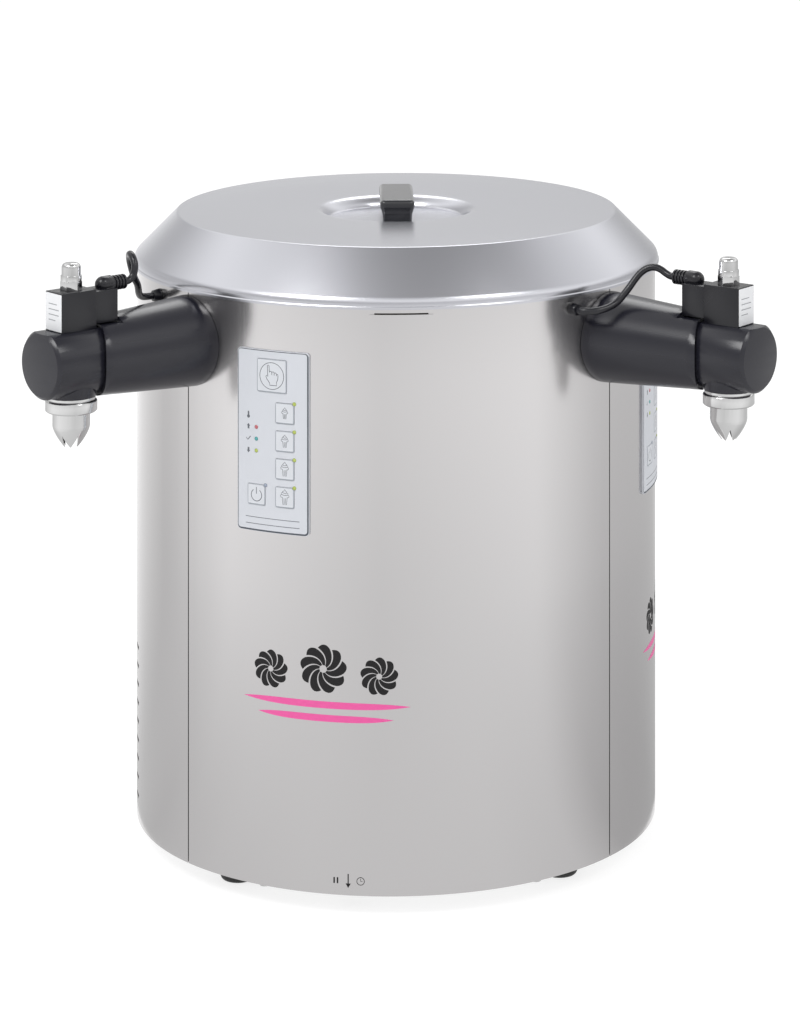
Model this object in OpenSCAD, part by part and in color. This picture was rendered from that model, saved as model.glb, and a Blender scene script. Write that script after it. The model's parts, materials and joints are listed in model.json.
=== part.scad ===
// Cream whipper: a refrigerated round tank under a lift-off lid, with two dispensing arms.
// Origin under the middle of the overall box at the standing surface, +Z up, the front towards -Y.
// Every station piece is drawn on an arm that points along -Y and is then turned to its azimuth.

/* [Casing] */
// Outside diameter of the round casing
body_d = 420; // [400:1:440]
// Height of the casing wall
body_h = 445; // [430:1:470]
// Thickness of the sheet steel
sheet_t = 1.2; // [0.8:0.1:2]
// Angle from one arm to the other, which is also the span of the front panel
station_turn = 102; // [96:1:108]
// Gap between two casing panels at a seam
seam_gap = 1.1; // [0.8:0.1:3]
// Width of the flanges folded in along the panels' top and bottom
flange_w = 14; // [10:1:16]
// Width of the flanges folded in along the seams
seam_fold_w = 6; // [4:0.5:7]
// Height of the rubber feet under the casing edge
foot_h = 15; // [10:1:25]
// Diameter of a rubber foot
foot_d = 28; // [24:1:34]
// Place of the feet between the casing axis and the wall
foot_place_share = 0.84; // [0.7:0.01:0.86]
// Thickness of the base plate
base_t = 2; // [1.5:0.5:4]

/* [Vents and slit] */
// Azimuth of the middle of the vent field
vent_az = -100; // [-106:1:-98]
// Number of vent rows
vent_rows = 9; // [5:1:10]
// Number of slots in a row
vent_columns = 3; // [2:1:4]
// Distance between vent rows
vent_pitch = 14.8; // [12:0.2:16]
// Length of a vent slot
vent_slot_w = 34; // [20:1:36]
// Height of a vent slot
vent_slot_h = 3; // [2:0.5:4]
// Height of the lowest slot above the casing edge
vent_low = 18; // [14:1:30]
// Width of the slit under the lid rim
slit_w = 48; // [30:1:60]
// Height of the slit under the lid rim
slit_h = 1.2; // [1:0.2:3]
// Drop of the slit below the casing's top edge
slit_drop = 6; // [5:0.5:10]

/* [Tank] */
// Room between the casing's outside and the tank's inside
tank_room = 60; // [56:1:70]
// Depth of the cream tank
tank_depth = 185; // [160:1:195]
// Wall of the cream tank
tank_wall = 1; // [0.8:0.1:2]
// Corner radius at the tank floor
tank_corner_r = 20; // [10:1:26]
// Diameter of the evaporator tube
evaporator_d = 8; // [6:0.5:9]
// Number of evaporator turns
evaporator_turns = 8; // [5:1:9]
// Thickness of the insulation
foam_t = 24; // [16:1:26]

/* [Lid] */
// Height of the lid above the casing wall
lid_h = 38; // [34:1:44]
// Width of the conical bevel, seen from above
lid_bevel_w = 34.4; // [26:0.2:42]
// How far the lid's lip stands out past the casing
lid_overhang = 3; // [2.5:0.1:6]
// Height of the upright skirt
skirt_h = 6.6; // [5.5:0.1:10]
// Overlap of the skirt below the casing's top edge
skirt_overlap = 3; // [2:0.5:6]
// Floor of the dish in front of the handle's end
dish_margin = 7.5; // [6:0.5:14]
// Width of the dish's sloping wall
dish_slope_w = 15; // [10:0.5:20]
// Depth of the dish
dish_depth = 8; // [6:0.5:10]
// Length of the bar handle
handle_l = 85; // [70:1:90]
// Width of the bar handle at its top
handle_w = 27.5; // [24:0.5:32]
// Width of the bar handle at its waist
handle_waist_w = 23.6; // [20:0.2:24]
// Height of the bar handle above the dish floor
handle_h = 21; // [18:0.5:26]
// Thickness of the lid gasket
gasket_t = 2; // [1.5:0.5:3]
// Depth to which the lid liner reaches into the tank
plug_depth = 8; // [5:1:14]

/* [Arms] */
// Room between the sleeve and the casing's top edge
arm_clear = 6; // [5:0.5:12]
// Sleeve diameter at the casing
sleeve_root_d = 70; // [66:1:74]
// Sleeve diameter at its outer end
sleeve_end_d = 58; // [57:0.5:62]
// Length of the sleeve from the casing wall
sleeve_l = 93; // [86:1:100]
// Diameter of the valve head
head_d = 52; // [51:0.5:54]
// Distance from the valve axis to the head's end face
head_nose_l = 28.5; // [24:0.5:34]
// Depth of the flat for the coil below the top of the head
coil_sink = 2.4; // [1:0.2:4]
// Diameter of the arm tube
arm_tube_d = 24; // [20:1:26]
// Wall of the arm tube
arm_tube_wall = 2; // [1.5:0.5:3]
// Number of baffles on the labyrinth rod
baffle_count = 8; // [4:1:10]

/* [Solenoid] */
// Width of the solenoid coil
coil_w = 22; // [20:0.5:24]
// Depth of the solenoid coil along the arm
coil_depth = 31; // [28:0.5:31]
// Height of the solenoid coil
coil_h = 29.4; // [27:0.2:34]
// Diameter of the armature tube
armature_d = 10; // [9:0.5:11]
// Diameter of the valve plunger
plunger_d = 6.9; // [6:0.1:7.2]
// Lift of the valve plunger
plunger_lift = 3; // [1:0.5:4]
// Width of the lower hex nut across its corners
hex_corner_d = 16.6; // [15:0.2:18]
// Height of the lower hex nut
hex_h = 6.8; // [5:0.2:9]
// Diameter of the ring between the nuts
nut_ring_d = 16; // [14:0.5:17]
// Height of the ring between the nuts
nut_ring_h = 4.4; // [3:0.2:6]
// Diameter of the domed cap
cap_d = 14.5; // [12.5:0.5:15]
// Height of the domed cap
cap_h = 9.4; // [8:0.2:11]
// Length and width of the plug connector
plug_w = 20; // [17:0.5:20]
// Height of the plug connector
plug_h = 24; // [22:0.5:25]
// Diameter of the cable entry on the plug
entry_d = 12.5; // [11.5:0.5:13]
// Diameter of the ribbed boot
boot_d = 11.3; // [9:0.1:11.5]
// Length of the ribbed boot
boot_l = 12.5; // [10:0.5:19]
// Number of ribs on the boot
boot_ribs = 4; // [3:1:7]
// Diameter of the coil lead
lead_d = 5.5; // [4:0.1:6]

/* [Outlet] */
// Diameter of the union thread
thread_d = 31; // [28:0.5:34]
// Width of the neck ring outside the thread
neck_ring_w = 3; // [2:0.2:4]
// Height of the neck ring
neck_ring_h = 2.5; // [1.5:0.5:3]
// Wall of the union nut
union_wall = 3.9; // [3:0.1:6]
// Height of the union nut
union_h = 9.4; // [9:0.2:12]
// Pitch of the union thread
union_pitch = 2; // [1:0.25:3]
// Width of the nozzle's flange
nozzle_flange_w = 1.25; // [1:0.05:1.6]
// Length of the nozzle below the union nut
nozzle_l = 27.7; // [24:0.1:34]
// Diameter of the nozzle tip
nozzle_tip_d = 9; // [8:0.5:12]
// Wall of the nozzle
nozzle_wall = 1; // [0.8:0.1:1.4]
// Number of slots in the star nozzle
nozzle_slots = 6; // [5:1:8]
// Length of the slots in the star nozzle
nozzle_slot_l = 11; // [8:0.5:13]

/* [Keypad] */
// Angle from an arm to the middle of its keypad
keypad_turn = 23.5; // [22:0.5:25]
// Width of the keypad plate
keypad_w = 61; // [58:1:66]
// Height of the keypad plate
keypad_h = 138; // [134:1:150]
// Drop of the keypad's top edge below the casing's top edge
keypad_drop = 38; // [30:1:46]
// Thickness of the keypad plate
keypad_t = 1.8; // [1.6:0.1:3]
// Side of the large hand key
hand_key_w = 25; // [22:0.5:28]
// Side of a portion key
portion_key_w = 15.5; // [13:0.5:16.5]
// Travel of a key
key_travel = 0.6; // [0.3:0.1:0.7]
// Diameter of a lamp
lamp_d = 3; // [2:0.2:3.4]

/* [Pumps] */
// Place of the pump axes between the casing axis and the tank wall
pump_place_share = 0.733; // [0.68:0.001:0.75]
// Diameter of a pump motor
motor_d = 60; // [50:1:64]
// Height of a pump motor in the room under the insulation
motor_share = 0.43; // [0.35:0.01:0.47]
// Diameter of a pump housing
pump_d = 54; // [50:1:58]
// Height of a pump housing
pump_h = 62; // [58:1:70]
// Diameter of a pump rotor
rotor_d = 40; // [36:1:42]
// Height of a pump rotor
rotor_h = 23; // [16:1:24]
// Number of vanes on a pump rotor
rotor_vanes = 6; // [4:1:8]
// Diameter of a pump shaft
shaft_d = 8; // [6:0.5:10]
// Diameter of the suction pipe
suction_d = 18; // [15:0.5:20]
// Bore of the suction pipe
suction_bore_d = 12; // [10:0.5:13]
// Diameter of the feed pipe
feed_d = 10; // [8:0.5:11]
// Bore of the feed pipe
feed_bore_d = 7; // [5:0.5:7]

/* [Cooling] */
// Diameter of the compressor
compressor_d = 140; // [120:1:146]
// Height of the compressor in the room under the insulation
compressor_share = 0.65; // [0.5:0.01:0.75]
// Azimuth of the compressor
compressor_az = 130; // [122:1:136]
// Width of the condenser
condenser_w = 150; // [140:1:160]
// Depth of the condenser
condenser_depth = 38; // [30:1:42]
// Height of the condenser in the room under the insulation
condenser_share = 0.6; // [0.5:0.01:0.7]
// Number of condenser fins
fin_count = 14; // [8:1:18]
// Diameter of the fan blade in the height of the condenser
fan_share = 0.86; // [0.7:0.01:0.9]
// Number of fan vanes
fan_vanes = 5; // [3:1:7]
// Diameter of the fan motor
fan_motor_d = 44; // [36:1:50]
// Diameter of the cooling pause button
pause_d = 12; // [8:0.5:14]
// Travel of the cooling pause button
pause_travel = 2; // [1:0.5:3]

/* [Hidden] */
$fn = 96;

// Clearances: between fixed pieces, between moving pieces, and round a running shaft
seat_gap = 0.2;
move_gap = 0.3;
run_gap = 0.05;
// How far a cutting shape runs past the face that it cuts
over = 1;

// Stations: the left arm and the right arm
left = -1;
right = 1;
function arm_az(side) = side * station_turn / 2;

// Heights and radii of the casing
body_r = body_d / 2;
wall_in_r = body_r - sheet_t;
casing_top = foot_h + body_h;
base_z = foot_h + sheet_t;
base_top = base_z + base_t;
room_r = body_r - seam_fold_w - sheet_t;
base_r = wall_in_r - seat_gap;
screw_r = 2;
screw_head_r = 4;
screw_head_h = 2.2;
screw_l = 8;
screw_place_r = body_r - flange_w / 2;
screw_share = 0.3;
vent_bar_w = 6.3;
vent_step_deg = (vent_slot_w + vent_bar_w) / body_r * 180 / PI;
vent_slot_turn = 4.4;
foot_place_r = body_r * foot_place_share;
foot_round_r = 4;
foot_az = 45;

// Tank and what surrounds it
tank_r = body_r - tank_room;
tank_out_r = tank_r + tank_wall;
tank_floor_z = casing_top - tank_depth;
deck_top = casing_top + tank_wall;
deck_r = body_r - sheet_t;
evaporator_place_r = tank_out_r + seat_gap + evaporator_d / 2;
evaporator_margin = 25;
foam_in_r = evaporator_place_r + evaporator_d / 2 + seat_gap;
foam_out_r = foam_in_r + foam_t;
foam_floor_z = tank_floor_z - tank_wall - seat_gap;
foam_bottom = foam_floor_z - foam_t;
under_room = foam_bottom - base_top;

// Lid
lid_top = casing_top + lid_h;
skirt_z = casing_top - skirt_overlap;
lip_t = 0.6;
lip_h = 2.5;
lid_r = body_r + lid_overhang;
skirt_r = lid_r - lip_t;
lid_top_r = skirt_r - lid_bevel_w;
lid_bevel_h = lid_top - skirt_z - skirt_h;
bevel_slope = lid_bevel_w / lid_bevel_h;
lid_round_r = 9;
lid_edge_r = 2.6;
dish_floor_r = handle_l / 2 + dish_margin;
dish_r = dish_floor_r + dish_slope_w;
dish_round_r = 3;
round_steps = 4;
gasket_z = deck_top + move_gap;
gasket_w = 10;
gasket_in_r = tank_r + gasket_t;
gasket_out_r = gasket_in_r + gasket_w;
liner_z = gasket_z + gasket_t;
liner_top = lid_top - dish_depth - sheet_t;
liner_inset = 11.4;
plug_clear = 3;
handle_round_r = 4;
handle_round_steps = 6;
handle_foot_share = 0.82;
handle_waist_share = 0.45;
handle_shoulder_share = 0.72;

// Arm: r is the distance from the casing axis
sleeve_root_r = sleeve_root_d / 2;
arm_z = casing_top - arm_clear - sleeve_root_r;
sleeve_reach = body_r + sleeve_l;
sleeve_end_r = sleeve_end_d / 2;
head_r = head_d / 2;
coil_clear = 1;
valve_r = sleeve_reach + coil_clear + coil_depth / 2;
head_end = valve_r + head_nose_l;
head_chamfer = 2.5;
coil_seat = head_r - coil_sink;
spigot_l = 28;
sleeve_wall = 7;
spigot_r = sleeve_end_r - sleeve_wall;
arm_tube_r = arm_tube_d / 2;
arm_tube_in_r = arm_tube_r - arm_tube_wall;
socket_depth = 15;
arm_tube_end = sleeve_reach - spigot_l + socket_depth - seat_gap;
arm_tube_start = foam_out_r + arm_tube_wall;
feed_place_r = (foam_out_r + wall_in_r) / 2;
hanger_w = 16;
hanger_t = body_r - flange_w - move_gap - arm_tube_start;
passage_r = 6;
sleeve_notch_w = 8;
sleeve_notch_l = 20;
plug_rise = 3.4;
plug_lift = coil_seat + plug_rise;
sleeve_flat_gap = 1.5;
sleeve_flat = plug_lift - sleeve_flat_gap;
plug_start = valve_r - coil_depth / 2 - seat_gap;
plug_end = plug_start - plug_w;
baffle_t = 3;
baffle_cut_share = 0.45;
rod_r = 4;
rod_start = feed_place_r + feed_d;
rod_end = arm_tube_end - seat_gap;

// Valve, on its own vertical axis; heights count from the arm axis
chamber_r = 8;
chamber_floor = -6;
chamber_top = 14;
orifice_r = 4;
thread_r = thread_d / 2;
neck_ring_r = thread_r + neck_ring_w;
boss_rim = 0.5;
boss_r = neck_ring_r + boss_rim;
armature_r = armature_d / 2;
armature_flange_t = 3;
armature_flange_r = chamber_r - seat_gap;
armature_low = chamber_top - armature_flange_t - seat_gap;
plunger_r = plunger_d / 2;
plunger_top = 30;
plunger_disc_r = 6;
plunger_disc_t = 3;
coil_top = coil_seat + coil_h;
hex_z = coil_top;
ring_z = hex_z + hex_h;
cap_z = ring_z + nut_ring_h;
armature_top = cap_z + cap_h / 2;
cap_round_r = 3.4;
cap_round_steps = 6;
label_t = 0.2;
label_margin = 0.6;
label_w = coil_w - 2 * label_margin;
label_h = coil_h - 2 * label_margin;
entry_rise = 2.5;
entry_z = plug_lift + plug_h + entry_rise;
entry_r = entry_d / 2;
entry_reach = 12.8;
entry_l = entry_reach - entry_r;
boot_r = boot_d / 2;
boot_rib_h = 1;
boot_core_r = boot_r - boot_rib_h;
boot_end = plug_end - boot_l;
lead_r = lead_d / 2;
lead_sides = 10;
gland_turn = -12;
gland_drop = 13;
gland_z = casing_top - gland_drop;
gland_r = 5.5;
gland_nose_r = 4.2;
gland_l = 6;
gland_stem_r = 3.5;

// Outlet under the valve head; heights count from the arm axis, downwards
neck_z = -head_r;
ring_bottom = neck_z - neck_ring_h;
thread_gap = 0.3;
neck_bore_r = 9;
neck_spigot_r = 12;
neck_spigot_h = 7;
union_bottom = ring_bottom - union_h;
union_lip = 1.5;
union_r = thread_r + thread_gap + union_wall;
union_chamfer = 1.2;
// The sleeve's end is cut on a wide upright curve just behind the nut, so that its cheeks reach past it
scallop_r = 55;
scallop_clear = 0.5;
scallop_start = valve_r - max(union_r, boss_r) - scallop_clear;
scallop_at = scallop_start + scallop_r;
flange_t = 1.5;
lip_z = union_bottom + union_lip;
flange_z = lip_z + run_gap;
neck_end = flange_z + flange_t + run_gap;
thread_cut_share = 0.25;
nozzle_r = thread_r - nozzle_flange_w;
nozzle_tip_r = nozzle_tip_d / 2;
nozzle_tip_z = union_bottom - nozzle_l;
nozzle_straight_share = 0.38;
nozzle_steps = 8;
bell_power = 1.45;
nozzle_slot_deg = 30;

// A nozzle may be screwed on at any turn: the left one shows a tooth to the front, the right one a slot
function slot_turn(side) = side == left ? station_turn / 2 : 90 - station_turn / 2;

// Keypad
keypad_top = casing_top - keypad_drop;
keypad_mid = keypad_top - keypad_h / 2;
keypad_in_r = body_r + seat_gap / 2;
keypad_out_r = keypad_in_r + keypad_t;
keypad_corner_cut = 1.75;
corner_turn = 45;
key_proud = 0.3;
key_t = keypad_t + key_proud - key_travel - seat_gap;
key_round_r = 1.2;
hand_key_share = 0.138;
portion_first_share = 0.338;
portion_pitch_share = 0.1535;
temp_share = 0.493;
lamp_pitch_share = 0.065;
portion_shift_share = 0.18;
power_shift_share = -0.216;
temp_shift_share = -0.221;
board_w = 48;
board_h = 118;
board_t = 1.6;
board_gap = 8;
board_back_r = foam_out_r + board_gap;
pillar_r = 3;
pillar_margin = 6;
chip_t = 2;
chip_share = 0.5;

// Pumps, on their own vertical axes
pump_place_r = tank_r * pump_place_share;
motor_z = base_top;
motor_h = under_room * motor_share;
pump_z = motor_z + motor_h;
pump_top = pump_z + pump_h;
rotor_gap = 0.3;
chamber_h = rotor_h + 2 * rotor_gap;
rotor_z = pump_top - chamber_h + rotor_gap;
lantern_wall = 7;
bearing_t = 6;
shaft_depth = 14;
cover_t = 8;
cover_top = pump_top + cover_t;
outlet_z = pump_top - chamber_h / 2;
spigot_out_l = 8;
feed_start = pump_place_r + pump_d / 2 + spigot_out_l + seat_gap;
feed_bend_r = 12;
hub_share = 0.45;
vane_t = 4;

// Cooling
compressor_gap = 6;
compressor_place_r = room_r - compressor_d / 2 - compressor_gap;
compressor_h = under_room * compressor_share;
condenser_h = under_room * condenser_share;
fan_d = condenser_h * fan_share;
compressor_dome_share = 0.22;
compressor_foot_t = 4;
compressor_foot_w = 120;
stub_r = 5;
stub_l = 22;
condenser_out = sqrt(pow(room_r, 2) - pow(condenser_w / 2, 2));
condenser_in = condenser_out - condenser_depth;
end_plate_t = 2;
fin_t = 0.8;
tube_rows = 4;
tube_r = 4;
fan_z = base_top + condenser_h / 2;
fan_gap = 4;
fan_depth = 14;
fan_start = condenser_in - fan_gap;
fan_end = fan_start - fan_depth;
fan_hub_r = 16;
fan_pitch_deg = 32;
fan_vane_t = 2;
fan_shaft_r = 3;
fan_motor_depth = 40;
fan_motor_start = fan_end - fan_gap;
fan_motor_end = fan_motor_start - fan_motor_depth;
fan_shaft_depth = 10;
stand_w = 30;
stand_t = 3;
stand_l = 36;
inlet_az = 175;
inlet_z = 62;
inlet_w = 30;
inlet_h = 24;
inlet_wall = 3;
inlet_flange = 4;
inlet_proud = 2;
inlet_depth = 22;
inlet_pin_w = 4;
inlet_pin_t = 2;
inlet_pin_gap = 7;
inlet_pin_share = 0.55;
pause_az = -11;
pause_place_r = body_r - flange_w - pause_d;
pause_r = pause_d / 2;
pause_stem_share = 0.6;
pause_cap_h = 4;
pause_head_h = 3;

// Leads, on their stations: each leaves its boot, and ends square on its gland
boot_mouth = [0, -boot_end, arm_z + entry_z];
gland_way = [sin(gland_turn), -cos(gland_turn), 0];
gland_mouth = (body_r + gland_l) * gland_way + [0, 0, gland_z];
gland_lead_in = 4.5;
// The left lead makes one free curl beside the lid
left_from_boot = [
    [0, 0, 0], [0, 4.4, 0], [0, 8.4, 2.8], [-0.2, 10.4, 7.4], [-1.6, 11.4, 11.8], [-4.6, 12.2, 15.4],
    [-9, 13.6, 17.2], [-14, 15.8, 16.8], [-18.4, 18.6, 14.4], [-22.2, 21.6, 10.4], [-25, 24.8, 5.2],
    [-27.4, 28.2, -0.6], [-29.6, 31.8, -6.4]
];
left_to_gland = [[12.4, -23.6, 13.6], [8.8, -20.2, 9], [4.6, -16.6, 5], [1.2, -12.6, 2], [-0.6, -8.4, 0.4]];
// The right lead makes one smooth drop
right_from_boot = [
    [0, 0, 0], [0, 4.5, 0], [0, 8.8, 1.6], [-0.4, 13.2, 4], [-1.6, 18, 5.4], [-3.6, 22.6, 4.6],
    [-6.4, 26.8, 1.6], [-9.8, 30, -3.2], [-13.8, 32.6, -9], [-18.6, 35.2, -14.8]
];
right_to_gland = [[21, -22.4, 5.6], [15, -20, 2.6], [9, -17.2, 1], [3.8, -13.6, 0.2], [0.4, -9.2, 0]];
function lead_route(from_boot, to_gland) = concat(
    [for (p = from_boot) boot_mouth + p],
    [for (p = to_gland) gland_mouth + p],
    [gland_mouth + gland_lead_in * gland_way, gland_mouth]
);

// The casing axis stands behind the middle of the overall box, by half of what the arms reach past the lid
front_reach = max(
    (head_end - head_chamfer) * cos(station_turn / 2) + head_r * sin(station_turn / 2),
    head_end * cos(station_turn / 2) + (head_r - head_chamfer) * sin(station_turn / 2)
);
axis_y = (front_reach - lid_r) / 2;

// Helpers

// Moves the whole machine so that its overall box stands over the origin
module placed() {
    translate([0, axis_y, 0]) children();
}

// Turns what is drawn along -Y to an azimuth, counted from the front
module at_az(az) {
    rotate([0, 0, az]) children();
}

// Draws its children on both stations
module on_both() {
    for (side = [left, right]) at_az(arm_az(side)) children();
}

// A round bar along the arm, from one distance to another
module bar(from, to, r, r_to = -1) {
    translate([0, -from, 0])
        rotate([90, 0, 0])
            cylinder(h = to - from, r1 = r, r2 = r_to < 0 ? r : r_to);
}

// Part of a ring, centred on the front
module ring_part(r_in, r_out, h, span) {
    rotate([0, 0, -90 - span / 2])
        rotate_extrude(angle = span)
            translate([r_in, 0]) square([r_out - r_in, h]);
}

// A block centred on the arm's plane, from one distance to another
module block(from, to, w, z, h) {
    translate([-w / 2, -to, z]) cube([w, to - from, h]);
}

// A tube that stands on the arm's plane at one distance
module post(at, z, h, r) {
    translate([0, -at, z]) cylinder(h = h, r = r);
}

// A plan outline with round corners
module round_rect(w, h, r) {
    union() {
        square([w - 2 * r, h], center = true);
        square([w, h - 2 * r], center = true);
        for (x = [-1, 1], y = [-1, 1])
            translate([x * (w / 2 - r), y * (h / 2 - r)]) circle(r, $fn = 32);
    }
}

// A slab that looks outwards at one azimuth and height, with round corners
module slab(az, z, from, to, w, h, r) {
    at_az(az)
        translate([0, -from, z])
            rotate([90, 0, 0])
                linear_extrude(to - from) round_rect(w, h, r);
}

// Points of an arc from one angle to another
function arc(c, r, from, to, steps) = [
    for (i = [0 : steps]) c + r * [cos(from + (to - from) * i / steps), sin(from + (to - from) * i / steps)]
];

// A profile with its corners rounded, each with a radius of its own
function unit(v) = v / norm(v);
function swing(a) = a > 180 ? a - 360 : a < -180 ? a + 360 : a;
function corner(a, b, c, r, steps) =
    r <= 0 ? [b] :
    let (
        u = unit(a - b), v = unit(c - b), half = acos(u * v) / 2,
        centre = b + unit(u + v) * r / sin(half),
        p = b + u * r / tan(half) - centre, q = b + v * r / tan(half) - centre,
        from = atan2(p[1], p[0]), turn = swing(atan2(q[1], q[0]) - from)
    )
    arc(centre, r, from, from + turn, steps);
function rounded(points, radii, steps) = [
    for (i = [0 : len(points) - 1])
        each corner(points[max(i - 1, 0)], points[i], points[min(i + 1, len(points) - 1)], radii[i], steps)
];

// Sweeps a round tube along a route
function heading(path, i) = unit(path[min(i + 1, len(path) - 1)] - path[max(i - 1, 0)]);
function ring_at(path, i, r, sides) =
    let (d = heading(path, i), a = unit(cross(d, [0.3, 0.2, 1])), b = cross(d, a))
    [for (k = [0 : sides - 1]) path[i] + r * (cos(360 * k / sides) * a + sin(360 * k / sides) * b)];
function quad(i, k, sides) =
    let (a = i * sides + k, b = i * sides + (k + 1) % sides) [[a, b, a + sides], [b, b + sides, a + sides]];

module swept(path, r, sides) {
    points = [for (i = [0 : len(path) - 1]) each ring_at(path, i, r, sides)];
    walls = [for (i = [0 : len(path) - 2], k = [0 : sides - 1]) each quad(i, k, sides)];
    last = (len(path) - 1) * sides;
    near_end = [for (k = [1 : sides - 2]) [0, k + 1, k]];
    far_end = [for (k = [1 : sides - 2]) [last, last + k, last + k + 1]];
    polyhedron(points, concat(walls, near_end, far_end));
}

// Casing

// The hole that an arm tube takes through the casing, at its seam
module arm_hole(az) {
    at_az(az) translate([0, 0, arm_z]) bar(room_r - over, body_r + over, arm_tube_r + move_gap);
}

// The hole for a lead gland
module gland_hole(az) {
    at_az(az) translate([0, 0, gland_z]) bar(room_r - over, body_r + over, gland_stem_r + seat_gap);
}

// A bent sheet panel with flanges along its top, its bottom and its two seams
module panel(mid, span) {
    inner = span - seam_gap / body_r * 180 / PI;
    fold = sheet_t / body_r * 180 / PI;
    flange_r = body_r - flange_w;
    section = [
        [flange_r, foot_h], [body_r, foot_h], [body_r, casing_top], [flange_r, casing_top],
        [flange_r, casing_top - sheet_t], [wall_in_r, casing_top - sheet_t],
        [wall_in_r, base_z], [flange_r, base_z]
    ];
    at_az(mid) difference() {
        union() {
            rotate([0, 0, -90 - inner / 2]) rotate_extrude(angle = inner) polygon(section);
            for (s = [-1, 1])
                at_az(s * (inner / 2 - fold))
                    translate([0, 0, foot_h + sheet_t / 2])
                        ring_part(room_r + sheet_t, wall_in_r + sheet_t / 2, body_h - sheet_t, fold);
        }
        for (s = [-1, 1])
            at_az(s * span * screw_share)
                post(screw_place_r, foot_h - over, sheet_t + 2 * over, screw_r + seat_gap);
    }
}

module front_panel() {
    color("silver") difference() {
        panel(0, station_turn);
        for (side = [left, right]) arm_hole(arm_az(side));
        gland_hole(arm_az(right) + gland_turn);
        translate([0, 0, casing_top - slit_drop - slit_h])
            block(wall_in_r - over, body_r + over, slit_w, 0, slit_h);
    }
}

module side_panel() {
    color("silver") difference() {
        panel(station_turn, station_turn);
        arm_hole(arm_az(right));
    }
}

rear_span = 360 - 2 * station_turn;
rear_mid = arm_az(left) - rear_span / 2;

// Middle and span of the front panel, the side panel and the rear shell
panel_places = [[0, station_turn], [station_turn, station_turn], [rear_mid, rear_span]];

module rear_shell() {
    color("silver") difference() {
        panel(rear_mid, rear_span);
        arm_hole(arm_az(left));
        gland_hole(arm_az(left) + gland_turn);
        for (row = [0 : vent_rows - 1], col = [0 : vent_columns - 1])
            at_az(vent_az + vent_slot_turn + (col - (vent_columns - 1) / 2) * vent_step_deg)
                block(wall_in_r - sheet_t - over, body_r + over, vent_slot_w,
                    foot_h + vent_low + row * vent_pitch, vent_slot_h);
        slab(inlet_az, inlet_z, room_r - over, body_r + over, inlet_w + seat_gap * 2,
            inlet_h + seat_gap * 2, inlet_wall);
    }
}

module base_plate() {
    color("silver") difference() {
        translate([0, 0, base_z]) cylinder(h = base_t, r = base_r - sheet_t - seat_gap);
        for (panel_at = panel_places, s = [-1, 1])
            at_az(panel_at[0] + s * panel_at[1] * screw_share)
                post(screw_place_r, base_z - over, base_t + 2 * over, screw_r + seat_gap);
        for (panel_at = panel_places, s = [-1, 1])
            at_az(panel_at[0] + s * panel_at[1] / 2)
                block(room_r - seat_gap, body_r, 2 * flange_w, base_z - over, base_t + 2 * over);
        at_az(pause_az)
            post(pause_place_r, base_z - over, base_t + 2 * over, pause_r * pause_stem_share + run_gap);
    }
}

module casing_screws() {
    color("dimgray")
        for (panel_at = panel_places, s = [-1, 1])
            at_az(panel_at[0] + s * panel_at[1] * screw_share) {
                post(screw_place_r, foot_h - screw_head_h, screw_head_h, screw_head_r);
                post(screw_place_r, foot_h - screw_head_h, screw_l, screw_r);
            }
}

module rubber_feet() {
    foot_r = foot_d / 2;
    outline = concat(
        [[0, 0]],
        arc([foot_r - foot_round_r, foot_round_r], foot_round_r, -90, 0, 6),
        [[foot_r, base_z], [0, base_z]]
    );
    color("#202020")
        for (az = [foot_az : 90 : 360])
            at_az(az) translate([0, -foot_place_r, 0]) rotate_extrude() polygon(outline);
}

// Tank and cold side

module cream_tank() {
    corner = [tank_r - tank_corner_r, tank_floor_z + tank_corner_r];
    inside = concat(
        [[0, tank_floor_z]],
        arc(corner, tank_corner_r, -90, 0, 6),
        [[tank_r, deck_top]]
    );
    outside = concat(
        [[deck_r, deck_top], [deck_r, casing_top], [tank_out_r, casing_top]],
        arc(corner, tank_corner_r + tank_wall, 0, -90, 6),
        [[0, tank_floor_z - tank_wall]]
    );
    color("gainsboro") difference() {
        rotate_extrude() polygon(concat(inside, outside));
        on_both()
            post(pump_place_r, tank_floor_z - tank_wall - over, tank_wall + 2 * over, suction_bore_d / 2);
    }
}

module tank_insulation() {
    color("wheat") difference() {
        translate([0, 0, foam_bottom]) cylinder(h = casing_top - foam_bottom, r = foam_out_r);
        translate([0, 0, foam_floor_z]) cylinder(h = casing_top - foam_floor_z + over, r = foam_in_r);
        on_both() post(pump_place_r, foam_bottom - over, foam_t + 2 * over, suction_d / 2 + seat_gap);
    }
}

module evaporator_tubes() {
    low = tank_floor_z + evaporator_margin;
    step = (tank_depth - 2 * evaporator_margin) / (evaporator_turns - 1);
    color("peru")
        for (i = [0 : evaporator_turns - 1])
            translate([0, 0, low + i * step])
                rotate_extrude() translate([evaporator_place_r, 0]) circle(evaporator_d / 2);
}

module compressor() {
    r = compressor_d / 2;
    dome = compressor_h * compressor_dome_share;
    can_z = base_top + compressor_foot_t;
    can_h = compressor_h - compressor_foot_t - 2 * dome;
    outline = concat(
        [[0, can_z]],
        [for (a = [-90 : 15 : 0]) [r * cos(a), can_z + dome + dome * sin(a)]],
        [for (a = [0 : 15 : 90]) [r * cos(a), can_z + dome + can_h + dome * sin(a)]]
    );
    color("#303030") at_az(compressor_az) translate([0, -compressor_place_r, 0]) {
        union() {
            rotate_extrude() polygon(outline);
            translate([0, 0, base_top])
                linear_extrude(compressor_foot_t * 2)
                    round_rect(compressor_foot_w, compressor_foot_w / 2, stub_r);
            for (x = [-1, 1])
                translate([x * r / 2, 0, can_z + compressor_h - 2 * dome])
                    cylinder(h = stub_l + dome, r = stub_r);
        }
    }
}

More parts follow.
